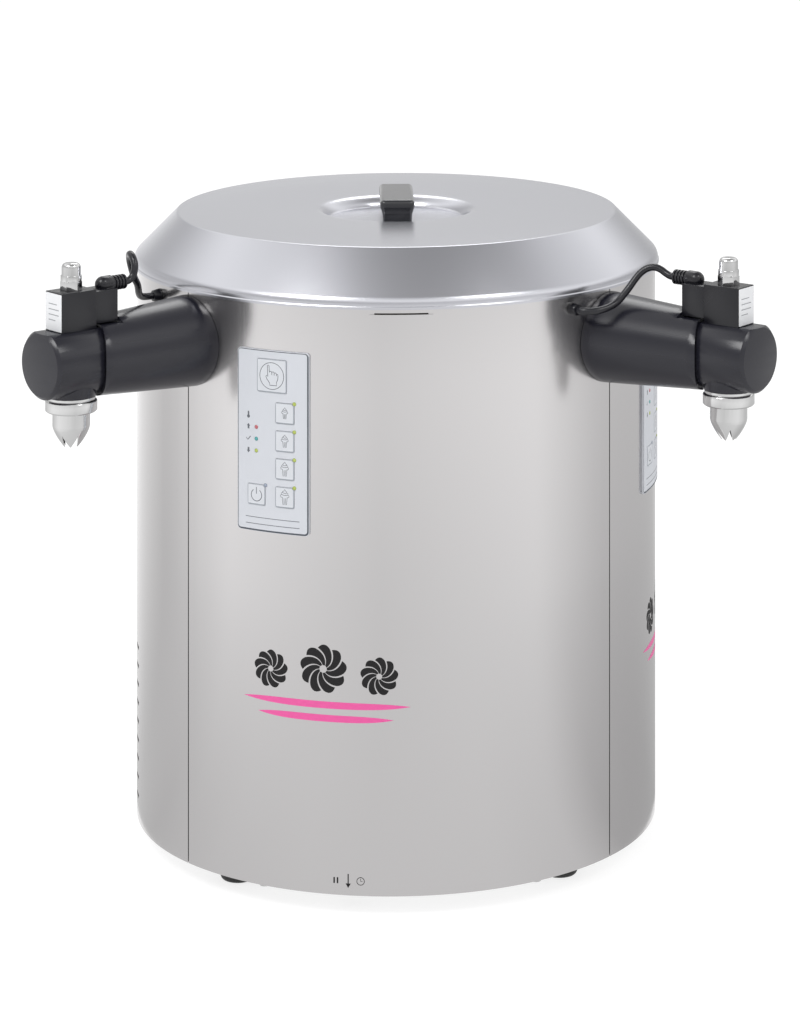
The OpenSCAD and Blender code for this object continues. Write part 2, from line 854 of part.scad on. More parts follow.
module condenser() {
    pitch = (condenser_w - 2 * end_plate_t) / (fin_count + 1);
    row = condenser_h / (tube_rows + 1);
    color("lightgray") at_az(vent_az) {
        union() {
            for (s = [-1, 1])
                translate([s * (condenser_w - end_plate_t) / 2, 0, 0])
                    block(condenser_in, condenser_out, end_plate_t, base_top, condenser_h);
            for (i = [1 : fin_count])
                translate([-condenser_w / 2 + end_plate_t + i * pitch, 0, 0])
                    block(condenser_in + fan_gap, condenser_out, fin_t, base_top, condenser_h);
            for (i = [1 : tube_rows])
                translate([-condenser_w / 2, -(condenser_in + condenser_out) / 2, base_top + i * row])
                    rotate([0, 90, 0]) cylinder(h = condenser_w, r = tube_r);
        }
    }
}

module fan_motor() {
    color("#383838") at_az(vent_az) {
        difference() {
            union() {
                translate([0, 0, fan_z]) bar(fan_motor_end, fan_motor_start, fan_motor_d / 2);
                block(fan_motor_end + stand_t, fan_motor_start - stand_t, stand_w, base_top,
                    fan_z - base_top);
                block(fan_motor_end, fan_motor_start, stand_l, base_top, stand_t);
            }
            translate([0, 0, fan_z])
                bar(fan_motor_start - fan_shaft_depth, fan_motor_start + over, fan_shaft_r + run_gap);
        }
    }
}

module fan_blade() {
    color("#505050") at_az(vent_az) translate([0, 0, fan_z]) {
        union() {
            bar(fan_end, fan_start, fan_hub_r);
            bar(fan_motor_start - fan_shaft_depth + move_gap, fan_end + over, fan_shaft_r);
            intersection() {
                bar(fan_end, fan_start, fan_d / 2);
                for (i = [0 : fan_vanes - 1])
                    rotate([0, i * 360 / fan_vanes, 0])
                        translate([0, -(fan_start + fan_end) / 2, 0])
                            rotate([0, 0, fan_pitch_deg])
                                translate([-fan_vane_t / 2, -fan_depth, 0])
                                    cube([fan_vane_t, 2 * fan_depth, fan_d / 2]);
            }
        }
    }
}

module power_inlet() {
    cavity_w = inlet_w - 2 * inlet_wall;
    cavity_h = inlet_h - 2 * inlet_wall;
    flange_out = body_r + inlet_proud;
    color("#181818") difference() {
        union() {
            slab(inlet_az, inlet_z, flange_out - inlet_depth, flange_out, inlet_w, inlet_h, inlet_wall);
            difference() {
                slab(inlet_az, inlet_z, body_r - over, flange_out, inlet_w + 2 * inlet_flange,
                    inlet_h + 2 * inlet_flange, inlet_wall);
                translate([0, 0, inlet_z - inlet_h]) cylinder(h = 2 * inlet_h, r = body_r + seat_gap / 2);
            }
        }
        difference() {
            slab(inlet_az, inlet_z, flange_out - inlet_depth + inlet_wall, flange_out + over, cavity_w,
                cavity_h, inlet_wall / 2);
            for (i = [-1 : 1])
                at_az(inlet_az)
                    translate([i * inlet_pin_gap, 0, inlet_z - inlet_pin_w / 2])
                        block(flange_out - inlet_depth, flange_out - inlet_depth * (1 - inlet_pin_share),
                            inlet_pin_t, 0, inlet_pin_w);
        }
    }
}

module pause_button() {
    stem_r = pause_r * pause_stem_share;
    color("#202020") at_az(pause_az) {
        post(pause_place_r, base_z - pause_travel - move_gap - pause_cap_h, pause_cap_h, pause_r);
        post(pause_place_r, base_z - pause_travel - move_gap - over, base_t + pause_travel + 2 * over,
            stem_r);
        post(pause_place_r, base_top + seat_gap, pause_head_h, pause_r);
    }
}

// Keypads

function shift_deg(shift) = shift / body_r * 180 / PI;
function keypad_az(side) = arm_az(side) + keypad_turn;

// Each key: its shift from the middle of the keypad, its drop below the keypad's top edge, and its side
portion_count = 4;
function portion_drop(i) = keypad_h * (portion_first_share + i * portion_pitch_share);
hand_key = [0, keypad_h * hand_key_share, hand_key_w];
portion_keys = [
    for (i = [0 : portion_count - 1]) [keypad_w * portion_shift_share, portion_drop(i), portion_key_w]
];
power_key = [keypad_w * power_shift_share, portion_drop(portion_count - 1), portion_key_w];
lit_keys = concat(portion_keys, [power_key]);
all_keys = concat([hand_key], lit_keys);

// Lamps: three beside the temperature signs, and one on the corner of each lit key
lamps = concat(
    [for (i = [-1 : 1]) [keypad_w * temp_shift_share, keypad_h * (temp_share + i * lamp_pitch_share)]],
    [for (k = lit_keys) [k[0] + k[2] / 2, k[1] - k[2] / 2]]
);

module lamp_bars(side, from, to, r) {
    for (l = lamps)
        at_az(keypad_az(side) + shift_deg(l[0])) translate([0, 0, keypad_top - l[1]]) bar(from, to, r);
}

// What a round corner leaves out of the plate: across and rise are 1 or -1
module plate_corner(side, across, rise) {
    cut = keypad_corner_cut / cos(corner_turn);
    at_az(keypad_az(side) + shift_deg(across * keypad_w / 2))
        translate([0, 0, keypad_mid + rise * keypad_h / 2])
            rotate([0, corner_turn, 0]) block(room_r, keypad_out_r + over, cut, -cut / 2, cut);
}

module keypad_plates() {
    span = keypad_w / body_r * 180 / PI;
    color("lightsteelblue") for (side = [left, right]) difference() {
        at_az(keypad_az(side))
            translate([0, 0, keypad_top - keypad_h]) ring_part(keypad_in_r, keypad_out_r, keypad_h, span);
        for (k = all_keys)
            slab(keypad_az(side) + shift_deg(k[0]), keypad_top - k[1], room_r, keypad_out_r + over,
                k[2] + 2 * move_gap, k[2] + 2 * move_gap, key_round_r + move_gap);
        lamp_bars(side, room_r, keypad_out_r + over, lamp_d / 2 + seat_gap / 2);
        for (across = [-1, 1], rise = [-1, 1]) plate_corner(side, across, rise);
    }
}

module status_lamps() {
    color("yellowgreen")
        for (side = [left, right]) lamp_bars(side, keypad_in_r, keypad_out_r + seat_gap, lamp_d / 2);
}

module key(side, k) {
    inner = keypad_out_r + key_proud - key_t;
    color("ghostwhite") difference() {
        intersection() {
            slab(keypad_az(side) + shift_deg(k[0]), keypad_top - k[1], room_r, keypad_out_r + over,
                k[2], k[2], key_round_r);
            translate([0, 0, keypad_top - keypad_h]) difference() {
                cylinder(h = keypad_h, r = keypad_out_r + key_proud);
                translate([0, 0, -over]) cylinder(h = keypad_h + 2 * over, r = inner);
            }
        }
        lamp_bars(side, room_r, keypad_out_r + over, lamp_d / 2 + move_gap);
    }
}

module control_boards() {
    front = board_back_r + board_t;
    color("seagreen") for (side = [left, right]) at_az(keypad_az(side)) {
        union() {
            translate([0, 0, keypad_mid - board_h / 2])
                block(board_back_r, front, board_w, 0, board_h);
            translate([0, 0, keypad_mid - board_h * chip_share / 2])
                block(front, front + chip_t, board_w * chip_share, 0, board_h * chip_share);
            intersection() {
                for (x = [-1, 1], z = [-1, 1])
                    translate([x * (board_w / 2 - pillar_margin), 0, keypad_mid])
                        translate([0, 0, z * (board_h / 2 - pillar_margin)])
                            bar(board_back_r, body_r, pillar_r);
                translate([0, 0, keypad_mid - board_h / 2]) cylinder(h = board_h, r = wall_in_r - seat_gap);
            }
        }
    }
}

// Pumps

module pump_motors() {
    color("dimgray") on_both() difference() {
        post(pump_place_r, motor_z, motor_h, motor_d / 2);
        post(pump_place_r, pump_z - shaft_depth, shaft_depth + over, shaft_d / 2 + run_gap);
    }
}

module pump_housings() {
    lantern_h = pump_h - chamber_h - bearing_t;
    color("lightgray") on_both() difference() {
        union() {
            post(pump_place_r, pump_z, pump_h, pump_d / 2);
            translate([0, 0, outlet_z]) bar(pump_place_r, feed_start - seat_gap, feed_d / 2 + arm_tube_wall);
        }
        post(pump_place_r, pump_z - over, lantern_h + over, pump_d / 2 - lantern_wall);
        post(pump_place_r, pump_z, pump_h, shaft_d / 2 + run_gap);
        post(pump_place_r, pump_top - chamber_h, chamber_h + over, rotor_d / 2 + rotor_gap);
        translate([0, 0, outlet_z]) bar(pump_place_r, feed_start + over, feed_bore_d / 2);
    }
}

module pump_covers() {
    pipe_top = tank_floor_z - tank_wall - seat_gap;
    color("lightgray") on_both() difference() {
        union() {
            post(pump_place_r, pump_top, cover_t, pump_d / 2);
            post(pump_place_r, pump_top, pipe_top - pump_top, suction_d / 2);
        }
        post(pump_place_r, pump_top - over, pipe_top - pump_top + 2 * over, suction_bore_d / 2);
    }
}

module pump_rotor(side) {
    low = pump_z - shaft_depth + move_gap;
    color("white") at_az(arm_az(side)) union() {
        post(pump_place_r, low, rotor_z - low + over, shaft_d / 2);
        post(pump_place_r, rotor_z, rotor_h, rotor_d / 2 * hub_share);
        translate([0, -pump_place_r, rotor_z])
            intersection() {
                cylinder(h = rotor_h, r = rotor_d / 2);
                for (i = [0 : rotor_vanes - 1])
                    rotate([0, 0, i * 360 / rotor_vanes])
                        translate([0, -vane_t / 2, 0]) cube([rotor_d / 2 + over, vane_t, rotor_h]);
            }
    }
}

// The line of a feed pipe: out from the pump, round one bend and up to the arm tube
module feed_line(r, past) {
    top = arm_z - arm_tube_r - seat_gap;
    turn = feed_place_r - feed_bend_r;
    translate([0, 0, outlet_z]) bar(feed_start - past, turn, r);
    translate([0, -turn, outlet_z + feed_bend_r])
        rotate([0, -90, 0])
            rotate([0, 0, 180])
                rotate_extrude(angle = 90) translate([feed_bend_r, 0]) circle(r);
    post(feed_place_r, outlet_z + feed_bend_r, top - outlet_z - feed_bend_r + past, r);
}

module feed_pipes() {
    color("gainsboro") on_both() difference() {
        feed_line(feed_d / 2, 0);
        feed_line(feed_bore_d / 2, over);
    }
}

// Arms

module arm_sleeve(side) {
    slope = (sleeve_root_r - sleeve_end_r) / (sleeve_reach - body_r);
    start = room_r;
    color("#303030") at_az(arm_az(side)) difference() {
        translate([0, 0, arm_z])
            bar(start, valve_r, sleeve_root_r + slope * (body_r - start),
                sleeve_end_r - slope * (valve_r - sleeve_reach));
        translate([0, 0, arm_z - sleeve_root_d]) cylinder(h = 2 * sleeve_root_d, r = body_r + seat_gap);
        post(scallop_at, arm_z - sleeve_root_d, 2 * sleeve_root_d, scallop_r);
        translate([0, 0, arm_z]) bar(start - over, sleeve_reach + over, arm_tube_r + seat_gap);
        translate([0, 0, arm_z]) bar(sleeve_reach - spigot_l - seat_gap, valve_r + over, spigot_r + seat_gap);
        block(plug_end - seat_gap - over, valve_r, 2 * sleeve_root_d, arm_z + sleeve_flat, sleeve_root_d);
        block(sleeve_reach - sleeve_notch_l, valve_r, sleeve_notch_w, arm_z - sleeve_root_d, sleeve_root_d);
    }
}

module arm_tubes() {
    color("gainsboro") on_both() difference() {
        union() {
            translate([0, 0, arm_z]) bar(arm_tube_start, arm_tube_end, arm_tube_r);
            block(arm_tube_start, arm_tube_start + hanger_t, hanger_w, arm_z, casing_top - arm_z);
        }
        translate([0, 0, arm_z]) bar(arm_tube_start + hanger_t, arm_tube_end + over, arm_tube_in_r);
        post(feed_place_r, arm_z - arm_tube_r - over, arm_tube_r, feed_bore_d / 2);
    }
}

module labyrinth_rods() {
    step = (rod_end - rod_start - baffle_t) / (baffle_count - 1);
    baffle_r = arm_tube_in_r - seat_gap;
    color("whitesmoke") on_both() translate([0, 0, arm_z]) union() {
        bar(rod_start, rod_end, rod_r);
        for (i = [0 : baffle_count - 1])
            difference() {
                bar(rod_start + i * step, rod_start + i * step + baffle_t, baffle_r);
                rotate([0, (i % 2) * 180, 0])
                    block(rod_start, rod_end, 2 * baffle_r, baffle_r * baffle_cut_share, baffle_r);
            }
    }
}

module valve_head(side) {
    color("#2c2c2c") at_az(arm_az(side)) translate([0, 0, arm_z]) difference() {
        union() {
            intersection() {
                bar(scallop_start, head_end - head_chamfer, head_r);
                post(scallop_at, neck_z, head_d, scallop_r - seat_gap);
            }
            bar(head_end - head_chamfer, head_end, head_r, head_r - head_chamfer);
            bar(sleeve_reach - spigot_l, valve_r, spigot_r);
            post(valve_r, neck_z, head_r, boss_r);
        }
        block(sleeve_reach - spigot_l - over, head_end + over, 2 * coil_w, coil_seat, head_d);
        bar(sleeve_reach - spigot_l - over, sleeve_reach - spigot_l + socket_depth, arm_tube_r + seat_gap);
        bar(sleeve_reach - spigot_l, valve_r, passage_r);
        post(valve_r, chamber_floor, chamber_top - chamber_floor, chamber_r);
        post(valve_r, chamber_floor, head_d, armature_r + seat_gap);
        post(valve_r, neck_z - over, head_r + chamber_floor + 2 * over, orifice_r);
        post(valve_r, neck_z - over, neck_spigot_h + seat_gap + over, neck_spigot_r + seat_gap);
    }
}

module armature_tubes() {
    color("silver") on_both() translate([0, 0, arm_z]) difference() {
        union() {
            post(valve_r, armature_low, armature_top - armature_low, armature_r);
            post(valve_r, armature_low, armature_flange_t, armature_flange_r);
        }
        post(valve_r, armature_low - over, plunger_top + plunger_lift + move_gap - armature_low + over,
            plunger_r + run_gap);
    }
}

module plunger(side) {
    color("silver") at_az(arm_az(side)) translate([0, 0, arm_z]) union() {
        post(valve_r, chamber_floor + run_gap, plunger_top - chamber_floor - run_gap, plunger_r);
        post(valve_r, chamber_floor + run_gap, plunger_disc_t, plunger_disc_r);
    }
}

module solenoid_coils() {
    front = valve_r + coil_depth / 2;
    color("#262626") on_both() translate([0, 0, arm_z]) difference() {
        union() {
            block(valve_r - coil_depth / 2, front, coil_w, coil_seat, coil_h);
            block(front - over, front + label_t, label_w, coil_seat + (coil_h - label_h) / 2, label_h);
        }
        post(valve_r, coil_seat - over, coil_h + 2 * over, armature_r + seat_gap);
    }
}

module coil_nuts() {
    core = armature_r + seat_gap;
    dome = concat(
        [[0, cap_z], [cap_d / 2, cap_z]],
        arc([cap_d / 2 - cap_round_r, cap_z + cap_h - cap_round_r], cap_round_r, 0, 90, cap_round_steps),
        [[0, cap_z + cap_h]]
    );
    color("gainsboro") on_both() translate([0, -valve_r, arm_z]) {
        difference() {
            translate([0, 0, hex_z]) cylinder(h = hex_h, r = hex_corner_d / 2, $fn = 6);
            translate([0, 0, hex_z - over]) cylinder(h = hex_h + 2 * over, r = core);
        }
        difference() {
            translate([0, 0, ring_z]) cylinder(h = nut_ring_h, r = nut_ring_d / 2);
            translate([0, 0, ring_z - over]) cylinder(h = nut_ring_h + 2 * over, r = core);
        }
        difference() {
            rotate_extrude() polygon(dome);
            translate([0, 0, cap_z - over]) cylinder(h = cap_h / 2 + over + seat_gap, r = core);
        }
    }
}

module plug_connectors() {
    rib = boot_l / (2 * boot_ribs + 1);
    color("#242424") on_both() translate([0, 0, arm_z]) {
        union() {
            block(plug_end, plug_start, plug_w, plug_lift, plug_h);
            translate([0, 0, entry_z]) {
                bar(plug_end, plug_end + entry_l, entry_r);
                translate([0, -plug_end - entry_l, 0]) sphere(entry_r);
                bar(boot_end, plug_end + over, boot_core_r);
                for (i = [0 : boot_ribs])
                    bar(boot_end + 2 * i * rib, boot_end + (2 * i + 1) * rib, boot_r);
            }
        }
    }
}

module lead_glands() {
    color("#242424")
        for (side = [left, right])
            at_az(arm_az(side) + gland_turn) translate([0, 0, gland_z]) {
                difference() {
                    union() {
                        bar(wall_in_r - sheet_t, body_r + over, gland_stem_r);
                        bar(body_r - over, body_r + gland_l, gland_r, gland_nose_r);
                    }
                    difference() {
                        bar(body_r - 2 * over, body_r + seat_gap / 2, 2 * gland_r);
                        bar(body_r - 3 * over, body_r + over, gland_stem_r);
                    }
                }
            }
}

module left_lead() {
    color("#1c1c1c") at_az(arm_az(left))
        swept(lead_route(left_from_boot, left_to_gland), lead_r, lead_sides);
}

module right_lead() {
    color("#1c1c1c") at_az(arm_az(right))
        swept(lead_route(right_from_boot, right_to_gland), lead_r, lead_sides);
}

// Outlets

module outlet_necks() {
    color("gainsboro") on_both() translate([0, 0, arm_z]) difference() {
        union() {
            post(valve_r, neck_z, neck_spigot_h, neck_spigot_r);
            post(valve_r, ring_bottom, neck_ring_h - seat_gap, neck_ring_r);
            post(valve_r, ring_bottom, neck_ring_h + over, neck_spigot_r);
            post(valve_r, neck_end, ring_bottom - neck_end + over, thread_r);
        }
        post(valve_r, neck_end - over, neck_spigot_h + neck_z - neck_end + 2 * over, neck_bore_r);
        for (i = [1 : floor((ring_bottom - neck_end) / union_pitch)])
            translate([0, -valve_r, neck_end + (i - 0.5) * union_pitch])
                rotate_extrude() translate([thread_r, 0]) circle(union_pitch * thread_cut_share, $fn = 4);
    }
}

module union_nut(side) {
    outline = [
        [thread_r + thread_gap, lip_z], [nozzle_r + seat_gap, lip_z], [nozzle_r + seat_gap, union_bottom],
        [union_r - union_chamfer, union_bottom], [union_r, union_bottom + union_chamfer],
        [union_r, ring_bottom - union_chamfer - run_gap], [union_r - union_chamfer, ring_bottom - run_gap],
        [thread_r + thread_gap, ring_bottom - run_gap]
    ];
    color("gainsboro") at_az(arm_az(side)) translate([0, -valve_r, arm_z]) rotate_extrude() polygon(outline);
}

module star_nozzle(side) {
    straight_z = union_bottom - nozzle_l * nozzle_straight_share;
    drop = straight_z - nozzle_tip_z;
    bend = nozzle_r - nozzle_tip_r;
    // The bell closes in slowly at first, then almost straight
    bell = [for (i = [0 : nozzle_steps]) let (share = i / nozzle_steps)
        [nozzle_r - bend * pow(share, bell_power), straight_z - drop * share]];
    hollow = [for (p = bell) [p[0] - nozzle_wall, p[1]]];
    outline = concat(
        [[thread_r - seat_gap, flange_z + flange_t], [thread_r - seat_gap, flange_z], [nozzle_r, flange_z]],
        bell,
        [for (i = [nozzle_steps : -1 : 0]) hollow[i]],
        [[nozzle_r - nozzle_wall, flange_z + flange_t]]
    );
    color("gainsboro") at_az(arm_az(side)) translate([0, -valve_r, arm_z]) difference() {
        rotate_extrude() polygon(outline);
        for (i = [0 : nozzle_slots - 1])
            rotate([0, 0, slot_turn(side) + i * 360 / nozzle_slots])
                translate([0, 0, nozzle_tip_z])
                    rotate([90, 0, 90])
                        linear_extrude(2 * nozzle_r)
                            polygon([
                                [0, nozzle_slot_l],
                                [-(nozzle_slot_l + over) * tan(nozzle_slot_deg / 2), -over],
                                [(nozzle_slot_l + over) * tan(nozzle_slot_deg / 2), -over]
                            ]);
    }
}

// Lid

module lid_shell() {
    floor_z = lid_top - dish_depth;
    corner_z = skirt_z + skirt_h;
    // The bevel's sheet, measured straight down
    bevel_t = sheet_t * norm([lid_bevel_w, lid_bevel_h]) / lid_bevel_w;
    outside = rounded(
        [
            [0, floor_z], [dish_floor_r, floor_z], [dish_r, lid_top], [lid_top_r, lid_top],
            [skirt_r, corner_z], [skirt_r, skirt_z + lip_h],
            [lid_r, skirt_z + lip_h], [lid_r, skirt_z]
        ],
        [0, dish_round_r, dish_round_r, lid_edge_r, lid_round_r, 0, 0, 0], round_steps
    );
    inner_r = skirt_r - sheet_t;
    inside = rounded(
        [
            [inner_r, skirt_z], [inner_r, corner_z - bevel_t + sheet_t / bevel_slope],
            [lid_top_r - (bevel_t - sheet_t) * bevel_slope, lid_top - sheet_t],
            [dish_r + sheet_t / 2, lid_top - sheet_t], [dish_floor_r + sheet_t / 2, floor_z - sheet_t],
            [0, floor_z - sheet_t]
        ],
        [0, lid_round_r - sheet_t, lid_edge_r - sheet_t, dish_round_r - sheet_t, dish_round_r + sheet_t, 0],
        round_steps
    );
    color("silver") rotate_extrude($fn = 128) polygon(concat(outside, inside));
}

module lid_liner() {
    edge_r = skirt_r - liner_inset;
    color("whitesmoke") rotate_extrude() polygon([
        [0, casing_top - plug_depth], [tank_r - plug_clear, casing_top - plug_depth],
        [tank_r - plug_clear, liner_z], [edge_r, liner_z],
        [edge_r - (liner_top - liner_z) * bevel_slope, liner_top], [0, liner_top]
    ]);
}

module lid_gasket() {
    color("dimgray") translate([0, 0, gasket_z]) difference() {
        cylinder(h = gasket_t, r = gasket_out_r);
        translate([0, 0, -over]) cylinder(h = gasket_t + 2 * over, r = gasket_in_r);
    }
}

// The handle's outline from one side: a cap with round edges over a narrower stem
function handle_outline(half) =
    let (
        foot = half - handle_w / 2 * (1 - handle_foot_share),
        waist = half - (handle_w - handle_waist_w) / 2,
        edge = half - handle_round_r,
        crown = handle_h - handle_round_r
    )
    concat(
        [[-foot, 0], [foot, 0]],
        [[waist, handle_h * handle_waist_share], [half, handle_h * handle_shoulder_share]],
        arc([edge, crown], handle_round_r, 0, 90, handle_round_steps),
        arc([-edge, crown], handle_round_r, 90, 180, handle_round_steps),
        [[-half, handle_h * handle_shoulder_share], [-waist, handle_h * handle_waist_share]]
    );

module lid_handle() {
    color("#202020") translate([0, 0, lid_top - dish_depth]) intersection() {
        translate([0, handle_l / 2, 0])
            rotate([90, 0, 0]) linear_extrude(handle_l) polygon(handle_outline(handle_w / 2));
        translate([-handle_w / 2, 0, 0])
            rotate([90, 0, 90]) linear_extrude(handle_w) polygon(handle_outline(handle_l / 2));
    }
}

placed() base_plate();
placed() rubber_feet();
placed() casing_screws();
placed() front_panel();
placed() side_panel();
placed() rear_shell();
placed() cream_tank();
placed() tank_insulation();
placed() evaporator_tubes();
placed() compressor();
placed() condenser();
placed() fan_motor();
placed() fan_blade();
placed() power_inlet();
placed() pause_button();
placed() control_boards();
placed() keypad_plates();
placed() status_lamps();
placed() key(left, hand_key);  // left_key_hand
placed() key(left, portion_keys[0]);  // left_key_portion_1
placed() key(left, portion_keys[1]);  // left_key_portion_2
placed() key(left, portion_keys[2]);  // left_key_portion_3
placed() key(left, portion_keys[3]);  // left_key_portion_4
placed() key(left, power_key);  // left_key_power
placed() key(right, hand_key);  // right_key_hand
placed() key(right, portion_keys[0]);  // right_key_portion_1
placed() key(right, portion_keys[1]);  // right_key_portion_2
placed() key(right, portion_keys[2]);  // right_key_portion_3
placed() key(right, portion_keys[3]);  // right_key_portion_4
placed() key(right, power_key);  // right_key_power
placed() pump_motors();
placed() pump_housings();
placed() pump_covers();
placed() pump_rotor(left);  // left_pump_rotor
placed() pump_rotor(right);  // right_pump_rotor
placed() feed_pipes();
placed() arm_sleeve(left);  // left_arm_sleeve
placed() arm_sleeve(right);  // right_arm_sleeve
placed() arm_tubes();
placed() labyrinth_rods();
placed() valve_head(left);  // left_valve_head
placed() valve_head(right);  // right_valve_head
placed() armature_tubes();
placed() plunger(left);  // left_plunger
placed() plunger(right);  // right_plunger
placed() solenoid_coils();
placed() coil_nuts();
placed() plug_connectors();
placed() lead_glands();
placed() left_lead();
placed() right_lead();
placed() outlet_necks();
placed() union_nut(left);  // left_union_nut
placed() union_nut(right);  // right_union_nut
placed() star_nozzle(left);  // left_star_nozzle
placed() star_nozzle(right);  // right_star_nozzle
placed() lid_shell();
placed() lid_liner();
placed() lid_gasket();
placed() lid_handle();
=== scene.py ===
# %% [markdown]
# # A cream machine, dressed in Blender
# The solids of the machine come from its CAD source and stay where they are. This lesson gives them their
# finishes, lays the two coil leads, spins a finer lid, prints the keypads and lights the whole like a
# product photograph. Everything is in metres, with the front of the machine towards -Y.

import json
import math

import bmesh
import bpy
from mathutils import Matrix, Vector


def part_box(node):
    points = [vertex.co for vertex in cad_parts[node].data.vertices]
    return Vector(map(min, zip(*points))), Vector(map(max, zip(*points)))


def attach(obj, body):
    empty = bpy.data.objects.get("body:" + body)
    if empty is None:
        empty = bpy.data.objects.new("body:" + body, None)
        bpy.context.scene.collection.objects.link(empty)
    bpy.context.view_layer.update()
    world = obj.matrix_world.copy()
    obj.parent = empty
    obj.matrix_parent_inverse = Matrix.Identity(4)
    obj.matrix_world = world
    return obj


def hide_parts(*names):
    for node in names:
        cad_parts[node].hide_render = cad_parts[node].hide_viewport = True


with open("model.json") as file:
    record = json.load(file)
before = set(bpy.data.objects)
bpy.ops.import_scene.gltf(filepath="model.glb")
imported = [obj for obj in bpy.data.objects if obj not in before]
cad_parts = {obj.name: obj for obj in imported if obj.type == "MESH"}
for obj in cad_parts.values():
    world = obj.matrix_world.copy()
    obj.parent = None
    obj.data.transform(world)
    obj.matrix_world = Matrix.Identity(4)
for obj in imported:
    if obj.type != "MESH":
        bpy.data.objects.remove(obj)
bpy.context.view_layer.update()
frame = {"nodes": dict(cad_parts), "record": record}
nodes = frame["nodes"]
print("solids loaded:", len(nodes))

# %% [markdown]
# ## Places on the machine
# Most pieces sit on a round wall, so two small helpers turn "so far round, so high" into a point in space.
# The wall's radius and axis are read from the frame, and so a changed casing carries everything with it.

# %% Measure the casing and the lid
lid_low, lid_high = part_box("lid_shell")
AXIS_Y = (lid_low.y + lid_high.y) / 2
LID_R = (lid_high.x - lid_low.x) / 2
BODY_R = AXIS_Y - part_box("front_panel")[0].y
CASING_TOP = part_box("front_panel")[1].z
STATION_AZ = 51
LEFT, RIGHT = -1, 1
SIDE_NAMES = {LEFT: "left", RIGHT: "right"}
print("casing radius", round(BODY_R, 4), "lid radius", round(LID_R, 4), "axis at y", round(AXIS_Y, 4))


# %% Points on the wall and on an arm
def on_casing(az, z, lift=0.0):
    """A point on the casing wall: degrees round from the front, height, and lift off the wall."""
    turn = math.radians(az)
    r = BODY_R + lift
    return Vector((r * math.sin(turn), AXIS_Y - r * math.cos(turn), z))


def on_arm(side, across, out, z):
    """A point in an arm's own plane: across the arm, out from the casing axis, and height."""
    turn = math.radians(side * STATION_AZ)
    x = across * math.cos(turn) + out * math.sin(turn)
    y = AXIS_Y + across * math.sin(turn) - out * math.cos(turn)
    return Vector((x, y, z))


print("left arm leaves the wall at", [round(c, 3) for c in on_arm(LEFT, 0, BODY_R, CASING_TOP)])

# %% [markdown]
# ## The camera
# The photograph keeps upright edges parallel although it looks down on the lid, as a view camera does: its
# film stays upright while the lens slides down. A large lens shift would do that too, but it would also slide
# the object out of every other view. Here a parent frame shears the camera instead, so the shift stays at 0,
# and a view that lets go of the parent gets a plain camera.

# %% Set up the view camera
CAMERA_AT = Vector((-0.0494, -2.8232, 0.979))
CAMERA_YAW = math.radians(2.5)
LOOK_DOWN_SLOPE = 0.256094
LOOK_LEFT_SLOPE = 0.025237
LENS_MM = 127.33
SENSOR_MM = 36

across = Vector((math.cos(CAMERA_YAW), -math.sin(CAMERA_YAW), 0))
ahead = Vector((math.sin(CAMERA_YAW), math.cos(CAMERA_YAW), 0))
up = Vector((0, 0, 1))
look = (ahead - LOOK_LEFT_SLOPE * across - LOOK_DOWN_SLOPE * up).normalized()

camera_data = bpy.data.cameras.new("view_camera")
camera_data.lens = LENS_MM
camera_data.sensor_width = SENSOR_MM
camera = bpy.data.objects.new("view_camera", camera_data)
tripod = bpy.data.objects.new("tripod", None)
for piece in (tripod, camera):
    bpy.context.scene.collection.objects.link(piece)
camera.parent = tripod
camera.matrix_parent_inverse = Matrix((
    (across.x, up.x, -look.x, CAMERA_AT.x),
    (across.y, up.y, -look.y, CAMERA_AT.y),
    (across.z, up.z, -look.z, CAMERA_AT.z),
    (0, 0, 0, 1),
))
bpy.context.scene.camera = camera
print("camera looks along", [round(c, 4) for c in look])

# %% [markdown]
# ## Light and floor
# Steel shows nothing but what it mirrors, so the studio is what shapes it. A sky that is grey overhead and
# white lower down shades the lid, and three soft boxes set the highlights on the plastics. The floor adds
# white light only to what looks at it directly or in a mirror, and keeps its own soft shadow. Two helpers
# keep the node trees short: one adds a node and links it, the other adds a ramp of greys.

# %% Nodes and ramps
def chain(tree, kind, *links, **settings):
    """A new node with settings, fed by (output socket, input name or number) pairs."""
    node = tree.nodes.new(kind)
    for key, value in settings.items():
        setattr(node, key, value)
    for socket, label in links:
        tree.links.new(socket, node.inputs[label])
    return node


def tone_ramp(tree, stops, source):
    """A colour ramp of greys from (place, grey) stops, read at the source's value."""
    ramp = chain(tree, "ShaderNodeValToRGB", (source, "Fac"))
    while len(ramp.color_ramp.elements) < len(stops):
        ramp.color_ramp.elements.new(0.5)
    for element, (place, grey) in zip(ramp.color_ramp.elements, stops):
        element.position = place
        element.color = (grey, grey, grey, 1)
    return ramp


print("node helpers ready")

# %% Sky
SKY_STEPS = (
    (0.0, 0.95), (0.12, 0.67), (0.25, 0.58), (0.38, 0.8), (0.56, 1.26), (0.66, 1.07), (0.84, 0.82),
    (0.95, 0.42), (1.0, 0.34),
)
SKY_TILT = math.radians(9)

scene = bpy.context.scene
scene.view_settings.view_transform = "Standard"
world = bpy.data.worlds.new("light_tent")
scene.world = world
world.use_nodes = True
sky = world.node_tree
direction = chain(sky, "ShaderNodeTexCoord")
height = chain(sky, "ShaderNodeVectorMath", (direction.outputs["Generated"], 0), operation="DOT_PRODUCT")
height.inputs[1].default_value = (math.sin(SKY_TILT), 0, math.cos(SKY_TILT))
sky_tones = tone_ramp(sky, SKY_STEPS, height.outputs["Value"])
sky.links.new(sky_tones.outputs["Color"], sky.nodes["Background"].inputs["Color"])
print("sky steps:", len(SKY_STEPS))

